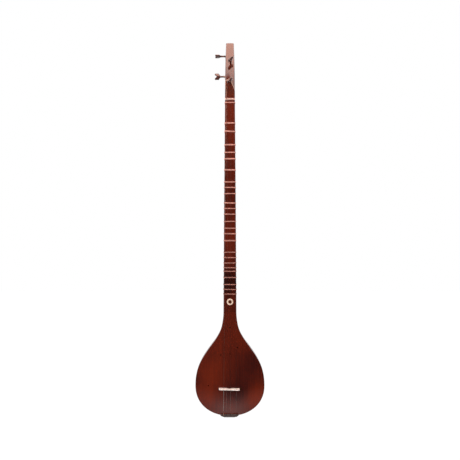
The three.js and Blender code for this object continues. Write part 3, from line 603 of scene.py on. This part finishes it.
def finish_piece(name, bm, finish, stands_for, body="body", sharp=40):
    """Makes the mesh a visible piece in metres, on its body, in place of the frame's node."""
    bmesh.ops.scale(bm, vec=(MM, MM, MM), verts=bm.verts)
    bmesh.ops.recalc_face_normals(bm, faces=bm.faces)
    mesh = bpy.data.meshes.new(name)
    bm.to_mesh(mesh)
    bm.free()
    mesh.materials.append(finish)
    mesh.shade_smooth()
    mesh.set_sharp_from_angle(angle=math.radians(sharp))
    piece = add_object(name, mesh)
    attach(piece, body)
    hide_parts(stands_for)
    return piece


def tube(bm, points, radius, sides, closed=False):
    """Round strand along the points, its rings carried on without twist."""
    count = len(points)
    rings = []
    ahead = (points[1] - points[-1 if closed else 0]).normalized()
    side = ahead.orthogonal().normalized()
    for i, centre in enumerate(points):
        after = points[(i + 1) % count] if closed else points[min(i + 1, count - 1)]
        before = points[i - 1] if closed else points[max(i - 1, 0)]
        ahead = (after - before).normalized()
        side = (side - ahead * side.dot(ahead)).normalized()
        other = ahead.cross(side)
        rings.append([centre + side * radius * c + other * radius * s for c, s in circle(sides)])
    if closed:
        rings = untwist(rings)
    skin_rings(bm, rings, closed)


def untwist(rings):
    """Turns rings of a closed strand so that the last meets the first corner to corner."""
    sides = len(rings[0])
    gaps = [(rings[-1][k] - rings[0][0]).length for k in range(sides)]
    shift = gaps.index(min(gaps))
    if shift == 0:
        return rings
    middle = len(rings) // 2
    return [ring if i < middle else ring[shift:] + ring[:shift] for i, ring in enumerate(rings)]


# Shape of the bowl

def share_at(shares, place):
    """Smooth value through equally spaced shares, level at both ends."""
    last = len(shares) - 1
    scaled = clamp(place) * last
    i = min(int(scaled), last - 1)
    t = scaled - i
    before = shares[abs(i - 1)]
    after = shares[last - 1 if i + 2 > last else i + 2]
    rise = (shares[i + 1] - before) / 2
    fall = (after - shares[i]) / 2
    gain = shares[i + 1] - shares[i]
    bend = rise + fall - 2 * gain
    return ((bend * t + 3 * gain - 2 * rise - fall) * t + rise) * t + shares[i]


def belly_station(angle, inset):
    """Height, half width, depth and share of the widest section, from the tail up to it."""
    share = math.sin(angle) ** (2 / ROUNDNESS)
    drop = max(math.cos(angle), 0) ** (2 / ROUNDNESS)
    half, depth = (BOWL_WIDTH / 2 - inset) * share, (BOWL_DEPTH - inset) * share
    return WIDEST_Z - (BELLY_LENGTH - inset) * drop, half, depth, share


def shoulder_station(place, inset=0.0):
    """The same from the widest section, place 0, up to the neck, place 1."""
    share = share_at(SHOULDER_SHARES, place)
    half = mix(NECK_WIDTHS[0], BOWL_WIDTH, share) / 2 - inset
    depth = mix(NECK_DEPTHS[0] - BOARD_THICKNESS, BOWL_DEPTH, share) - inset
    return mix(WIDEST_Z, JOINT_Z, place), half, depth, share


def bowl_stations(start_angle, inset=0.0):
    start = math.radians(start_angle)
    angles = [mix(start, math.pi / 2, i / BELLY_STEPS) for i in range(BELLY_STEPS)]
    belly = [belly_station(angle, inset) for angle in angles]
    return belly + [shoulder_station(i / SHOULDER_STEPS, inset) for i in range(SHOULDER_STEPS + 1)]


def back_point(half, depth, z, angle, rim=RIM_Y, squareness=ROUNDNESS):
    x = half * squared(math.cos(angle), squareness)
    return Vector((x, rim + depth * squared(abs(math.sin(angle)), squareness), z))


def equal_angles(count):
    """Angles that share the half-round of the widest section into equal lengths."""
    z, half, depth, _ = shoulder_station(0)
    fine = count * 24
    points = [back_point(half, depth, z, math.pi * i / fine) for i in range(fine + 1)]
    travelled = [0.0]
    for before, after in zip(points, points[1:]):
        travelled.append(travelled[-1] + (after - before).length)
    goals = [travelled[-1] * k / count for k in range(count + 1)]
    nearest = [min(range(fine + 1), key=lambda n: abs(travelled[n] - goal)) for goal in goals]
    return [math.pi * n / fine for n in nearest]


def board_front(share, across):
    return -BOARD_ARCH * share * (1 - across * across)


def make_soundboard(finish):
    """Thin arched plate with eased edges and drilled holes."""
    inner = [1 - 2 * k / BOARD_COLUMNS for k in range(1, BOARD_COLUMNS)]
    rings = []
    for z, half, _, share in bowl_stations(BOARD_START_ANGLE):
        ease = BOARD_EDGE / half
        across = [1 - ease] + inner + [ease - 1]
        front = [Vector((half * a, board_front(share, a), z)) for a in across]
        back = [point + Vector((0, BOARD_THICKNESS, 0)) for point in reversed(front)]
        edge = board_front(share, 1)
        left = [Vector((-half, edge + y, z)) for y in (BOARD_EDGE, BOARD_THICKNESS - BOARD_EDGE)]
        right = [Vector((-point.x, point.y, z)) for point in reversed(left)]
        rings.append(front + left + back + right)
    bm = bmesh.new()
    skin_rings(bm, rings)
    for across, up in SOUND_HOLE_SHARES:
        drill(bm, across * BOWL_WIDTH / 2, up)
    finish_piece("soundboard_plate", bm, finish, stands_for="soundboard")


def open_round(bm, corner, radius):
    """Turns one corner of a grid into a round opening, seen from the front, and returns its rim."""
    x, z = corner.co.x, corner.co.z
    made = bmesh.ops.bevel(bm, geom=[corner], offset=radius, offset_type="OFFSET", segments=1,
                           profile=0.5, affect="VERTICES", material=-1)
    rim = list(made["faces"][0].edges)
    bmesh.ops.delete(bm, geom=made["faces"], context="FACES_ONLY")
    split = bmesh.ops.subdivide_edges(bm, edges=rim, cuts=7)
    edges = [part for part in split["geom"] if isinstance(part, bmesh.types.BMEdge)]
    rim = [edge for edge in edges if edge.is_boundary]
    for vert in {vert for edge in rim for vert in edge.verts}:
        spoke = Vector((vert.co.x - x, 0, vert.co.z - z)).normalized() * radius
        vert.co.x, vert.co.z = x + spoke.x, z + spoke.z
    return rim


def drill(bm, x, up):
    """Drills a round hole through the plate, with a wall between its two faces."""
    z, half, _, share = shoulder_station(up)
    front = board_front(share, x / half)
    for y in (front, front + BOARD_THICKNESS):
        level = [vert for vert in bm.verts if abs(vert.co.y - y) < BOARD_THICKNESS / 3]
        corner = min(level, key=lambda vert: (vert.co.x - x) ** 2 + (vert.co.z - z) ** 2)
        corner.co.x, corner.co.z = x, z
        open_round(bm, corner, SOUND_HOLE_RADIUS)
    bmesh.ops.bridge_loops(bm, edges=[edge for edge in bm.edges if edge.is_boundary])


def rib_ring(station, inner_station, first, last):
    """Section of a stave between two angles, less half a glue line and an eased edge at each."""
    z, half, depth, _ = station
    inner_z, inner_half, inner_depth, _ = inner_station
    most = (last - first) / 8
    ends = [math.hypot(half * math.sin(a), depth * math.cos(a)) + 1e-6 for a in (first, last)]
    low, high = first + min(GLUE_LINE / ends[0], most), last - min(GLUE_LINE / ends[1], most)
    start, stop = low + min(RIB_EDGE / ends[0], most), high - min(RIB_EDGE / ends[1], most)
    spread = [mix(start, stop, n / RIB_COLUMNS) for n in range(RIB_COLUMNS + 1)]
    edge = min(RIB_EDGE, half / 8)
    sides = []
    for angle in (high, low):
        outside = back_point(half - edge, depth - edge, z, angle)
        inside = back_point(inner_half + edge, inner_depth + edge, inner_z, angle)
        sides.append([outside, inside])
    arc = [back_point(half, depth, z, angle) for angle in spread]
    lining = [back_point(inner_half, inner_depth, inner_z, angle) for angle in reversed(spread)]
    return arc + sides[0] + lining + sides[1][::-1]


def make_ribs(finishes):
    """Eleven bent staves, each with eased long edges, so that the glue lines show."""
    angles = equal_angles(RIB_COUNT * 2)
    stations = list(zip(bowl_stations(RIB_TIP_ANGLE), bowl_stations(RIB_TIP_ANGLE, RIB_THICKNESS)))
    for k in range(RIB_COUNT):
        bm = bmesh.new()
        skin_rings(bm, [rib_ring(*pair, angles[2 * k], angles[2 * k + 2]) for pair in stations])
        name = f"bowl_rib_{k + 1:02d}"
        finish = finishes[k % len(finishes)]
        finish_piece(name.replace("rib", "stave"), bm, finish, stands_for=name)


# Neck and head

def arc_points(centre_x, centre_y, radius, start, end, count):
    angles = [math.radians(mix(start, end, k / count)) for k in range(1, count)]
    return [(centre_x + radius * math.cos(a), centre_y + radius * math.sin(a)) for a in angles]


def mirrored(points):
    return [(-across, up) for across, up in reversed(points)]


def beam_outline(half, depth, squareness, front, ease, columns, shift=0.0,
                 back_steps=28, edge_steps=4):
    """Flat front with rounded edges and a rounded back, as (x, y) from the front's right edge."""
    inner = half - ease
    stations = [1 - 2 * k / columns for k in range(columns + 1)]
    flat = [(inner * c + shift * (1 - abs(c)), front) for c in stations]
    left = arc_points(-inner, front + ease, ease, 270, 180, edge_steps)
    side = max(BOARD_THICKNESS, front + ease)
    back = []
    for k in range(back_steps + 1):
        point = back_point(half, depth - side, 0, math.pi * (1 - k / back_steps), side, squareness)
        back.append((point.x, point.y))
    return flat + left + [(-half, front + ease)] + back + [(half, front + ease)] + mirrored(left)


def neck_shape(z):
    """Half width and depth of the neck."""
    place = (z - JOINT_Z) / (NUT_Z - JOINT_Z)
    swell = NECK_SWELL * math.sin(math.pi * clamp(place))
    half = mix(*NECK_WIDTHS, min(place, 1)) / 2 + swell
    return half, mix(*NECK_DEPTHS, min(place, 1))


def make_neck(finish):
    low_slot, high_slot = NUT_Z - NUT_SLOT, NUT_Z + NUT_SLOT
    above_inlay = INLAY_Z + INLAY_MARGIN
    heights = [JOINT_Z + GLUE_GAP, INLAY_Z - INLAY_MARGIN, INLAY_Z, above_inlay]
    heights += [mix(above_inlay, low_slot, k / NECK_ROWS) for k in range(1, NECK_ROWS + 1)]
    rows = [(z, 0) for z in heights]
    rows += [(low_slot, NUT_SLOT_FLOOR), (high_slot, NUT_SLOT_FLOOR), (high_slot, 0), (SPLICE_Z, 0)]
    rings = []
    for z, front in rows:
        half, depth = neck_shape(z)
        ease = NUT_SLOT_EDGE if front else NECK_EDGE
        outline = beam_outline(half, depth, ROUNDNESS, front, ease, 2)
        rings.append([Vector((x, y, z)) for x, y in outline])
    bm = bmesh.new()
    skin_rings(bm, rings)
    recess(bm)
    finish_piece("neck_beam", bm, finish, stands_for="neck")


def recess(bm):
    """Sinks a round seat for the inlay into the front of the neck."""
    centre = Vector((0, 0, INLAY_Z))
    rim = open_round(bm, min(bm.verts, key=lambda v: (v.co - centre).length), INLAY_SEAT_RADIUS)
    wall = bmesh.ops.extrude_edge_only(bm, edges=rim)["geom"]
    floor_rim = [vert for vert in wall if isinstance(vert, bmesh.types.BMVert)]
    bmesh.ops.translate(bm, vec=(0, INLAY_SEAT_DEPTH, 0), verts=floor_rim)
    bmesh.ops.holes_fill(bm, edges=[edge for edge in bm.edges if edge.is_boundary], sides=0)


def head_shape(z):
    """Half width, depth and squareness of the head's section."""
    place = (z - SPLICE_Z) / (TOP_Z - SPLICE_Z)
    start_half, start_depth = neck_shape(SPLICE_Z)
    top = HEAD_WAIST_SHARES[-1]
    share = (share_at(HEAD_WAIST_SHARES, place) - top) / (1 - top)
    rounding = clamp((z - SPLICE_Z) / HEAD_SHOULDER)
    rounding = rounding * rounding * (3 - 2 * rounding)
    squareness = mix(ROUNDNESS, HEAD_SQUARENESS, rounding)
    half = mix(HEAD_TOP_HALF, start_half, share)
    return half, mix(start_depth, HEAD_TOP_DEPTH, place), squareness


def step_edge(x):
    across = x - STEP_ACROSS
    return APEX_Z + (across * STEP_LEFT_FALL if across < 0 else -across * STEP_RIGHT_FALL)


def slope_at(z):
    return STEP_DEPTH + (z - APEX_Z) * HEAD_SLOPE


def step_lean(x):
    """How far the riser leans back: more under the long right leg of the step."""
    return mix(STEP_LEAN, STEP_LEAN_RIGHT, clamp((x - STEP_ACROSS) / 3))


def face_depth(x, z):
    """Depth of the sloping face, with a shallow hollow left of the point of the step."""
    above = clamp(1 - (z - step_edge(x)) / HOLLOW_HEIGHT)
    return slope_at(z) + HOLLOW_DEPTH * above * above * clamp((1 - x) / 3)


def head_rows():
    """Height in the middle, share of the step and of the riser, rounding of the edges, inset."""
    rows = [(z, follow, 0, NECK_EDGE, 0) for z, follow in TONGUE_ROWS]
    rows += [(APEX_Z, 1, share, mix(RISER_EDGE, HEAD_EDGE, share), 0) for share in RISER_SHARES]
    rows += [(APEX_Z + rise, 1 - rise / STEP_FADE, 1, HEAD_EDGE, 0) for rise in FACE_RISES]
    rows += [(mix(*UPPER_FACE, k / UPPER_ROWS), 0, 1, HEAD_EDGE, 0) for k in range(UPPER_ROWS + 1)]
    return rows + [(z, 0, 1, HEAD_EDGE, inset) for z, inset in TOP_ROWS]


def head_outline(half, depth, squareness, front, ease):
    return beam_outline(half, depth, squareness, front, ease, HEAD_COLUMNS, shift=STEP_ACROSS)


def head_ring(middle, follow, level, ease, inset):
    """Ring of the head, each point moved with the step and back on the riser or the face."""
    shape = head_shape(middle)
    ends = [step_edge(side * shape[0]) - APEX_Z for side in (-1, 1)]
    points = []
    for k, (x, y) in enumerate(head_outline(*shape, 0, ease)):
        on_front = y < ease + MERGE
        drop = step_edge(x) - APEX_Z if on_front else mix(*ends, (x / shape[0] + 1) / 2)
        z = middle + follow * drop
        lean = step_lean(x)
        foot = face_depth(x, APEX_Z + drop) / (1 - lean * HEAD_SLOPE)
        if level < 1:
            front = foot * level
            z += lean * front
        else:
            z += lean * foot * max(follow * 3 - 2, 0)
            front = face_depth(x, z)
        half, depth, squareness = head_shape(z)
        outline = head_outline(half - inset, depth - inset, squareness, front + inset, ease)
        points.append(Vector((*outline[k], min(z, TOP_Z))))
    return points


def make_head(finish, riser_highlight_finish):
    """Block with a pointed step, a riser that leans back, and a sloping face with rounded edges."""
    bm = bmesh.new()
    skin_rings(bm, [head_ring(*row) for row in head_rows()])
    bmesh.ops.recalc_face_normals(bm, faces=bm.faces)
    for face in bm.faces:
        centre = face.calc_center_median()
        rising = face.normal.z > RISER_TILT and centre.z < APEX_Z + RISER_REACH
        between = RISER_SKIN[0] < centre.y < slope_at(centre.z) + RISER_SKIN[1]
        # Riser faces take the pale finish, a painted highlight along the step
        face.material_index = 1 if rising and between else 0
    head = finish_piece("head_block", bm, finish, stands_for="head", sharp=30)
    head.data.materials.append(riser_highlight_finish)


# Pegs

def plan_pegs():
    """Seat of each peg on the head, way out, way its wings point, and how deep it reaches."""
    slanted = Vector((math.cos(FRONT_KNOB_ANGLE), 0, math.sin(FRONT_KNOB_ANGLE)))
    pegs = {}
    for name, (x, above) in FRONT_PEGS.items():
        z = NUT_Z + above
        face = slope_at(z) if z > step_edge(x) else 0
        reach = head_shape(z)[1] - face - PEG_TIP_SHORT
        pegs[name] = (Vector((x, face, z)), Vector((0, -1, 0)), slanted, reach)
    for name, (above, wing) in SIDE_PEGS.items():
        z = NUT_Z + above
        half = head_shape(z)[0]
        seat = Vector((-half, slope_at(z) + SIDE_PEG_SET_BACK, z))
        pegs[name] = (seat, Vector((-1, 0, 0)), Vector(wing), 2 * half - PEG_TIP_SHORT)
    return pegs


def knob_ring(v):
    """Ring of the knob at share v of its length: two thick, blunt lobes with a notch between."""
    flare = math.sin(clamp(v / KNOB_FLARE) * math.pi / 2) ** 1.15
    end = clamp((v - KNOB_END) / (1 - KNOB_END))
    closing = math.sqrt(max(1 - end * end, 0))
    half = mix(PEG_RADII[1], KNOB_HALF, flare) - KNOB_END_ROUND * (1 - closing)
    thick = mix(PEG_RADII[1], KNOB_THICKNESS / 2, clamp(v * 4)) * closing
    squareness = mix(2, KNOB_SQUARENESS, flare)
    ring = []
    for c, s in circle(PEG_SIDES):
        wide, tall = squared(c, squareness), squared(s, squareness)
        lobe = clamp(abs(wide) / KNOB_LOBE) ** 1.1
        blunt = clamp(abs(wide) * 4 - 3) ** 2
        out = v * (KNOB_LENGTH - KNOB_NOTCH * (1 - lobe) - KNOB_BLUNTING * blunt)
        ring.append((half * wide, thick * tall, out))
    return ring


def make_peg(name, peg, finish):
    """Tapered shaft with an eased tip and a collar, and the knob on it."""
    seat, out, wing, reach = peg
    place = Matrix((wing, out.cross(wing), out)).transposed().to_4x4()
    place.translation = seat
    stations = [(-reach, -PEG_COLLAR), (PEG_COLLAR - reach, 0), (0, 0), (PEG_SHAFT / 2, 0)]
    stations += [(PEG_SHAFT - below, wider) for below, wider in PEG_COLLAR_ROWS]
    rings = []
    for along, wider in stations:
        radius = mix(*PEG_RADII, (along + reach) / (PEG_SHAFT + reach)) + wider
        rings.append([(radius * c, radius * s, along) for c, s in circle(PEG_SIDES)])
    for share in KNOB_ROWS:
        rings.append([(w, t, PEG_SHAFT + o) for w, t, o in knob_ring(share)])
    bm = bmesh.new()
    skin_rings(bm, [[place @ Vector(point) for point in ring] for ring in rings])
    shown = name.replace("peg", "tuning_peg")
    finish_piece(shown, bm, finish, stands_for=name, body=name, sharp=50)


# Gut

def neck_loop(z, lift, slope):
    half, depth = neck_shape(z)
    outline = beam_outline(half + lift, depth + lift, ROUNDNESS, -lift, NECK_EDGE + lift, 4,
                           back_steps=24, edge_steps=3)
    points = [Vector((x, y, z + slope * x)) for x, y in outline]
    return [point for i, point in enumerate(points) if (point - points[i - 1]).length > 0.05]


def tie(bm, z, turns, slope):
    """Turns of gut round the neck, with the knot and its short ends at the back."""
    for k in range(turns):
        level = z + (k - (turns - 1) / 2) * GUT_PITCH
        tube(bm, neck_loop(level, GUT_LIFT, slope), GUT_RADIUS, GUT_SIDES, closed=True)
    half, depth = neck_shape(z)
    lift = GUT_LIFT + KNOT_LIFT * GUT_RADIUS
    over = back_point(half + lift, depth - BOARD_THICKNESS + lift, z, KNOT_ANGLE, BOARD_THICKNESS)
    out = (over - Vector((0, depth / 3, z))).normalized()
    along = out.cross(Vector((0, 0, 1))).normalized()
    reach = turns * GUT_PITCH / 2
    ends = []
    for t in KNOT_STATIONS:
        sink = KNOT_SINK * GUT_RADIUS if abs(t) > 1.3 else 0
        ends.append(over + Vector((0, 0, t * reach)) + along * 0.5 * t - out * sink)
    tube(bm, ends, GUT_RADIUS, GUT_SIDES)
    knot = over + Vector((0, 0, -0.2)) + out * 0.1
    spiral = []
    for k in range(KNOT_ROWS + 1):
        turn = 2 * math.pi * k / KNOT_SIDES
        arm = along * math.cos(turn) + out * math.sin(turn)
        rise = (k / KNOT_ROWS - 0.5) * KNOT_LENGTH
        spiral.append(knot + arm * GUT_RADIUS * KNOT_WIDTH + Vector((0, 0, rise)))
    tube(bm, spiral, GUT_RADIUS * 0.8, GUT_SIDES)


def make_frets(finish):
    bm = bmesh.new()
    tie(bm, BINDING_Z, BINDING_TURNS, 0)
    finish_piece("nut_tie", bm, finish, stands_for="nut_binding", sharp=60)
    for i, (share, turns, slope) in enumerate(FRETS):
        name = f"fret_{i + 1:02d}"
        bm = bmesh.new()
        tie(bm, NUT_Z - share * STRING_LENGTH, turns, slope)
        shown = name.replace("fret", "gut_fret")
        finish_piece(shown, bm, finish, stands_for=name, body=name, sharp=60)


# Bone

def groove_stations(half, places, fine=3):
    """Places along a bar from end to end, with the walls of the string grooves among them."""
    cuts = [(-half, False), (half, False)]
    for x in places:
        cuts += [(x - GROOVE_HALF - GROOVE_WALL, False), (x - GROOVE_HALF, True), (x, True)]
        cuts += [(x + GROOVE_HALF, True), (x + GROOVE_HALF + GROOVE_WALL, False)]
    cuts += [(mix(-half, half, k / fine), False) for k in range(1, fine)]
    return sorted(cuts)


def make_nut(finish):
    half, thick = NECK_WIDTHS[1] / 2, NUT_THICKNESS / 2
    rings = []
    for x, grooved in groove_stations(half, [string[3] for string in STRINGS.values()]):
        top = -NUT_RISE + (GROOVE_DEPTH if grooved else 0)
        top += NUT_END_DROP * (1 - clamp((half - abs(x)) / NUT_END_ROUND))
        lower = [(-thick, NUT_SEAT), (-thick, top + NUT_EDGE)]
        lower += arc_points(NUT_EDGE - thick, top + NUT_EDGE, NUT_EDGE, 180, 270, 5)
        lower += [(NUT_EDGE - thick, top)]
        rings.append([Vector((x, y, NUT_Z + dz)) for dz, y in lower + mirrored(lower)])
    bm = bmesh.new()
    skin_rings(bm, rings)
    finish_piece("nut_bar", bm, finish, stands_for="nut")


def bridge_ring(x, grooved):
    """Section of the bridge, rounded down at its ends, grooved, and arched in the middle."""
    half = BRIDGE_WIDTH / 2
    corner = clamp((half - abs(x)) / BRIDGE_END_ROUND)
    top = BRIDGE_HEIGHT - BRIDGE_END_ROUND * (1 - math.sqrt(max(1 - (1 - corner) ** 2, 0)))
    top -= GROOVE_DEPTH if grooved else 0
    arch = clamp(1 - (x / BRIDGE_ARCH_HALF) ** 2)
    foot = BRIDGE_ARCH_HEIGHT * math.sqrt(arch) if arch > 0 else 0.0
    profile = []
    for height in (foot, foot + BRIDGE_FOOT_EASE, (foot + top) / 2, top - 0.5):
        profile.append((mix(BRIDGE_FOOT, BRIDGE_TOP, height / BRIDGE_HEIGHT) / 2, height))
    profile[0] = (profile[0][0] - BRIDGE_FOOT_EASE, foot)
    wide = mix(BRIDGE_FOOT, BRIDGE_TOP, top / BRIDGE_HEIGHT) / 2
    profile += [(wide - inset, top - drop) for inset, drop in BRIDGE_TOP_EASE]
    place = BRIDGE_PLACE - x * BRIDGE_TILT
    outline = profile + mirrored(profile)
    return [Vector((x + BRIDGE_OFFSET, BRIDGE_BASE_Y - h, place - w)) for w, h in outline]


def make_bridge(finish):
    half = BRIDGE_WIDTH / 2
    stations = groove_stations(half, [string[2] - BRIDGE_OFFSET for string in STRINGS.values()], 8)
    stations += [(side * (half - inset), False) for side in (-1, 1) for inset in BRIDGE_END_ROWS]
    arch = [math.cos(math.pi * k / BRIDGE_ARCH_ROWS) for k in range(BRIDGE_ARCH_ROWS + 1)]
    stations += [(BRIDGE_ARCH_HALF * x, False) for x in arch]
    rings = [bridge_ring(x, grooved) for x, grooved in sorted(set(stations))]
    bm = bmesh.new()
    skin_rings(bm, rings)
    finish_piece("bridge_bar", bm, finish, stands_for="bridge")


def make_inlay(ring_finish, disc_finish):
    """Bone ring with a wooden disc in it, both with eased edges."""
    def hoop(radius, y):
        return [Vector((radius * c, y, INLAY_Z + radius * s)) for c, s in circle(INLAY_SIDES)]

    bm = bmesh.new()
    profile = [(INLAY_HOLE, INLAY_EASE), (INLAY_HOLE + INLAY_EASE, 0)]
    profile += [(INLAY_RADIUS - INLAY_EASE, 0), (INLAY_RADIUS, INLAY_EASE)]
    profile += [(INLAY_RADIUS, INLAY_THICKNESS), (INLAY_HOLE, INLAY_THICKNESS)]
    skin_rings(bm, [hoop(*corner) for corner in profile], closed=True)
    finish_piece("inlay_hoop", bm, ring_finish, stands_for="inlay_ring")
    bm = bmesh.new()
    profile = [(DISC_RADIUS - INLAY_EASE, DISC_SINK), (DISC_RADIUS, DISC_SINK + INLAY_EASE)]
    profile += [(DISC_RADIUS, INLAY_THICKNESS)]
    skin_rings(bm, [hoop(*corner) for corner in profile])
    finish_piece("inlay_dot", bm, disc_finish, stands_for="inlay_disc")


def make_tailpiece(finish):
    """The frame's own tailpiece with its edges eased."""
    bm = bmesh.new()
    bm.from_mesh(nodes["tailpiece"].data)
    bmesh.ops.scale(bm, vec=(1 / MM, 1 / MM, 1 / MM), verts=bm.verts)
    bmesh.ops.remove_doubles(bm, verts=bm.verts, dist=MERGE)
    bmesh.ops.dissolve_limit(bm, angle_limit=math.radians(1), verts=bm.verts, edges=bm.edges)
    corners = [edge for edge in bm.edges if edge.is_manifold and edge.calc_face_angle() > 0.5]
    bmesh.ops.bevel(bm, geom=corners, offset=TAILPIECE_EDGE, offset_type="OFFSET", segments=3,
                    profile=0.5, affect="EDGES", material=-1, clamp_overlap=True)
    finish_piece("tail_hook", bm, finish, stands_for="tailpiece", sharp=30)


# Strings

def helix(centre, start, ahead, axis, radius, turns, pitch):
    points = []
    for i in range(round(turns * COIL_SIDES) + 1):
        angle = 2 * math.pi * i / COIL_SIDES
        arm = start * radius * math.cos(angle) + ahead * radius * math.sin(angle)
        points.append(centre + arm + axis * (pitch * i / COIL_SIDES))
    return points


def tail_loop(tail, diameter):
    """Loop round a pin of the tailpiece, ending where the string leaves it."""
    radius = diameter / 2
    loop = PIN_RADIUS + radius + STRING_GAP
    centre = Vector((tail + loop, -TAILPIECE_FRONT - 0.3 - radius, PIN_HEIGHT))
    across, down, front = Vector((-1, 0, 0)), Vector((0, 0, -1)), Vector((0, -1, 0))
    return helix(centre, across, down, front, loop, 1, diameter + 0.1)[::-1]


def loop_twist(route, diameter):
    """The loop's own end, wound round the string that leaves it."""
    loop_end = route[COIL_SIDES]
    ahead = (route[COIL_SIDES + 1] - loop_end).normalized()
    side = ahead.orthogonal().normalized()
    centre, other = loop_end + ahead * 1.5, ahead.cross(side)
    return helix(centre, side, other, ahead, diameter * 0.95, LOOP_TURNS, diameter * 1.6)


def over_step(nut, goal, lift):
    """Point at which a string on its way from the nut to its goal passes the edge of the step."""
    x, z = nut, APEX_Z
    for _ in range(24):
        z = (z + step_edge(mix(nut, goal.x, (z - NUT_Z) / (goal.z - NUT_Z)))) / 2
        x = mix(nut, goal.x, (z - NUT_Z) / (goal.z - NUT_Z))
    return Vector((x, -lift, z))


def string_route(name, pegs):
    """From the loop on its tail pin over bridge, nut and head to the turns on its peg."""
    diameter, tail, bridge, nut, peg_name, turns = STRINGS[name]
    seat, out, *_ = pegs[peg_name]
    radius = diameter / 2
    bridge_y = BRIDGE_TOP_Y + GROOVE_DEPTH - radius - STRING_GAP
    nut_y = -NUT_RISE + GROOVE_DEPTH - radius - STRING_GAP
    points = tail_loop(tail, diameter)
    points += [Vector((bridge, bridge_y, BRIDGE_PLACE + dz)) for dz in (-BRIDGE_REST, BRIDGE_REST)]
    points += [Vector((nut, nut_y, NUT_Z + side * NUT_THICKNESS / 2)) for side in (-1, 1)]
    lift = radius + HEAD_GAP
    wrap = mix(*PEG_RADII, COIL_TAPER) + radius + COIL_FIT
    corner = []
    goal = seat + Vector((wrap, 0, 0))
    start = Vector((1, 0, 0))
    if out.x:
        # a string to a side peg turns over the left edge of the face, a little below its peg
        turn_z = seat.z - CORNER_DROP
        half, face = head_shape(turn_z)[0], slope_at(turn_z)
        goal = Vector((-half + 1, face - lift, turn_z - 1))
        corner = [goal, Vector((-half - lift, face + 1.2, turn_z + 1))]
        start = Vector((0, -1, 0))
    if goal.z > step_edge(goal.x):
        points.append(over_step(nut, goal, lift))
    pitch = diameter + COIL_GAP
    first = seat + out * (COIL_PLACE + radius)
    wound = helix(first, start, Vector((0, 0, 1)), out, wrap, turns, pitch)
    end = wound[-1] + Vector((0, 0, 1.2)) + out * pitch
    return points + corner + wound + [end, end + Vector((0.5, 0, 1.2)) + out * 0.4]


def make_strings(pegs, finishes):
    for name, (diameter, *_) in STRINGS.items():
        route = string_route(name, pegs)
        bm = bmesh.new()
        tube(bm, route, diameter / 2, 8)
        tube(bm, loop_twist(route, diameter), diameter / 2, 6)
        slot = "bronze" if name == "string_bass" else "steel"
        shown = name.replace("string", "wire")
        finish_piece(shown, bm, finishes[slot], stands_for=name, sharp=60)


def dress(name, material):
    for slot in nodes[name].material_slots:
        slot.material = material


make_camera()
make_studio()
for name, softbox in SOFTBOXES.items():
    add_softbox(name, *softbox)
make_floor()

board_varnish = varnished_wood("board_varnish", (0.045, 0.005, 0.003), (0.165, 0.016, 0.003),
                               0.35, BOARD_PATCHES)
stave_varnishes = [
    varnished_wood("stave_varnish_dark", (0.05, 0.007, 0.004), (0.12, 0.018, 0.009)),
    varnished_wood("stave_varnish_light", (0.065, 0.01, 0.005), (0.15, 0.024, 0.011)),
]
neck_varnish = varnished_wood("neck_varnish", (0.028, 0.003, 0.001), (0.15, 0.016, 0.005),
                              0.6, NECK_PATCHES)
head_varnish = varnished_wood("head_varnish", (0.07, 0.01, 0.004), (0.15, 0.025, 0.009), 0.7)
# Greyish varnish on the tailpiece: its own tone with a painted reflection in it
tail_varnish_painted_sheen = varnished_wood("tail_varnish_painted_sheen", (0.064, 0.043, 0.04), (0.104, 0.072, 0.067), 0.4)
peg_polish = varnished_wood("peg_polish", (0.055, 0.016, 0.011), (0.12, 0.038, 0.028),
                            coat_roughness=0.2)
disc_polish = varnished_wood("disc_polish", (0.08, 0.016, 0.005), (0.13, 0.028, 0.008))
inner_wood = bare_wood("inner_wood", (0.3, 0.18, 0.09), (0.45, 0.3, 0.17))
# Pale bare wood on the step's riser: a painted highlight along the step
riser_painted_highlight = bare_wood("riser_painted_highlight", (0.52, 0.34, 0.25), (0.66, 0.46, 0.35))
nut_bone = polished_bone("nut_bone", (0.56, 0.34, 0.28), (0.74, 0.47, 0.4))
bridge_bone = polished_bone("bridge_bone", (0.94, 0.78, 0.69), (0.97, 0.88, 0.81))
ring_bone = polished_bone("ring_bone", (0.82, 0.56, 0.42), (0.93, 0.72, 0.57))
gut = twisted_gut("gut", (0.27, 0.11, 0.085), (0.92, 0.45, 0.36))
wires = {
    "steel": drawn_wire("steel_wire", (0.05, 0.047, 0.045), (0.1, 0.095, 0.09)),
    "bronze": drawn_wire("bronze_wire", (0.18, 0.125, 0.1), (0.3, 0.225, 0.185), 1400.0),
}

pegs = plan_pegs()
make_soundboard(board_varnish)
make_ribs(stave_varnishes)
make_neck(neck_varnish)
make_head(head_varnish, riser_painted_highlight)
for name, peg in pegs.items():
    make_peg(name, peg, peg_polish)
make_nut(nut_bone)
make_bridge(bridge_bone)
make_inlay(ring_bone, disc_polish)
make_frets(gut)
make_tailpiece(tail_varnish_painted_sheen)
make_strings(pegs, wires)
dress("tail_block", inner_wood)
dress("neck_block", inner_wood)

bpy.context.scene.view_settings.view_transform = "Standard"
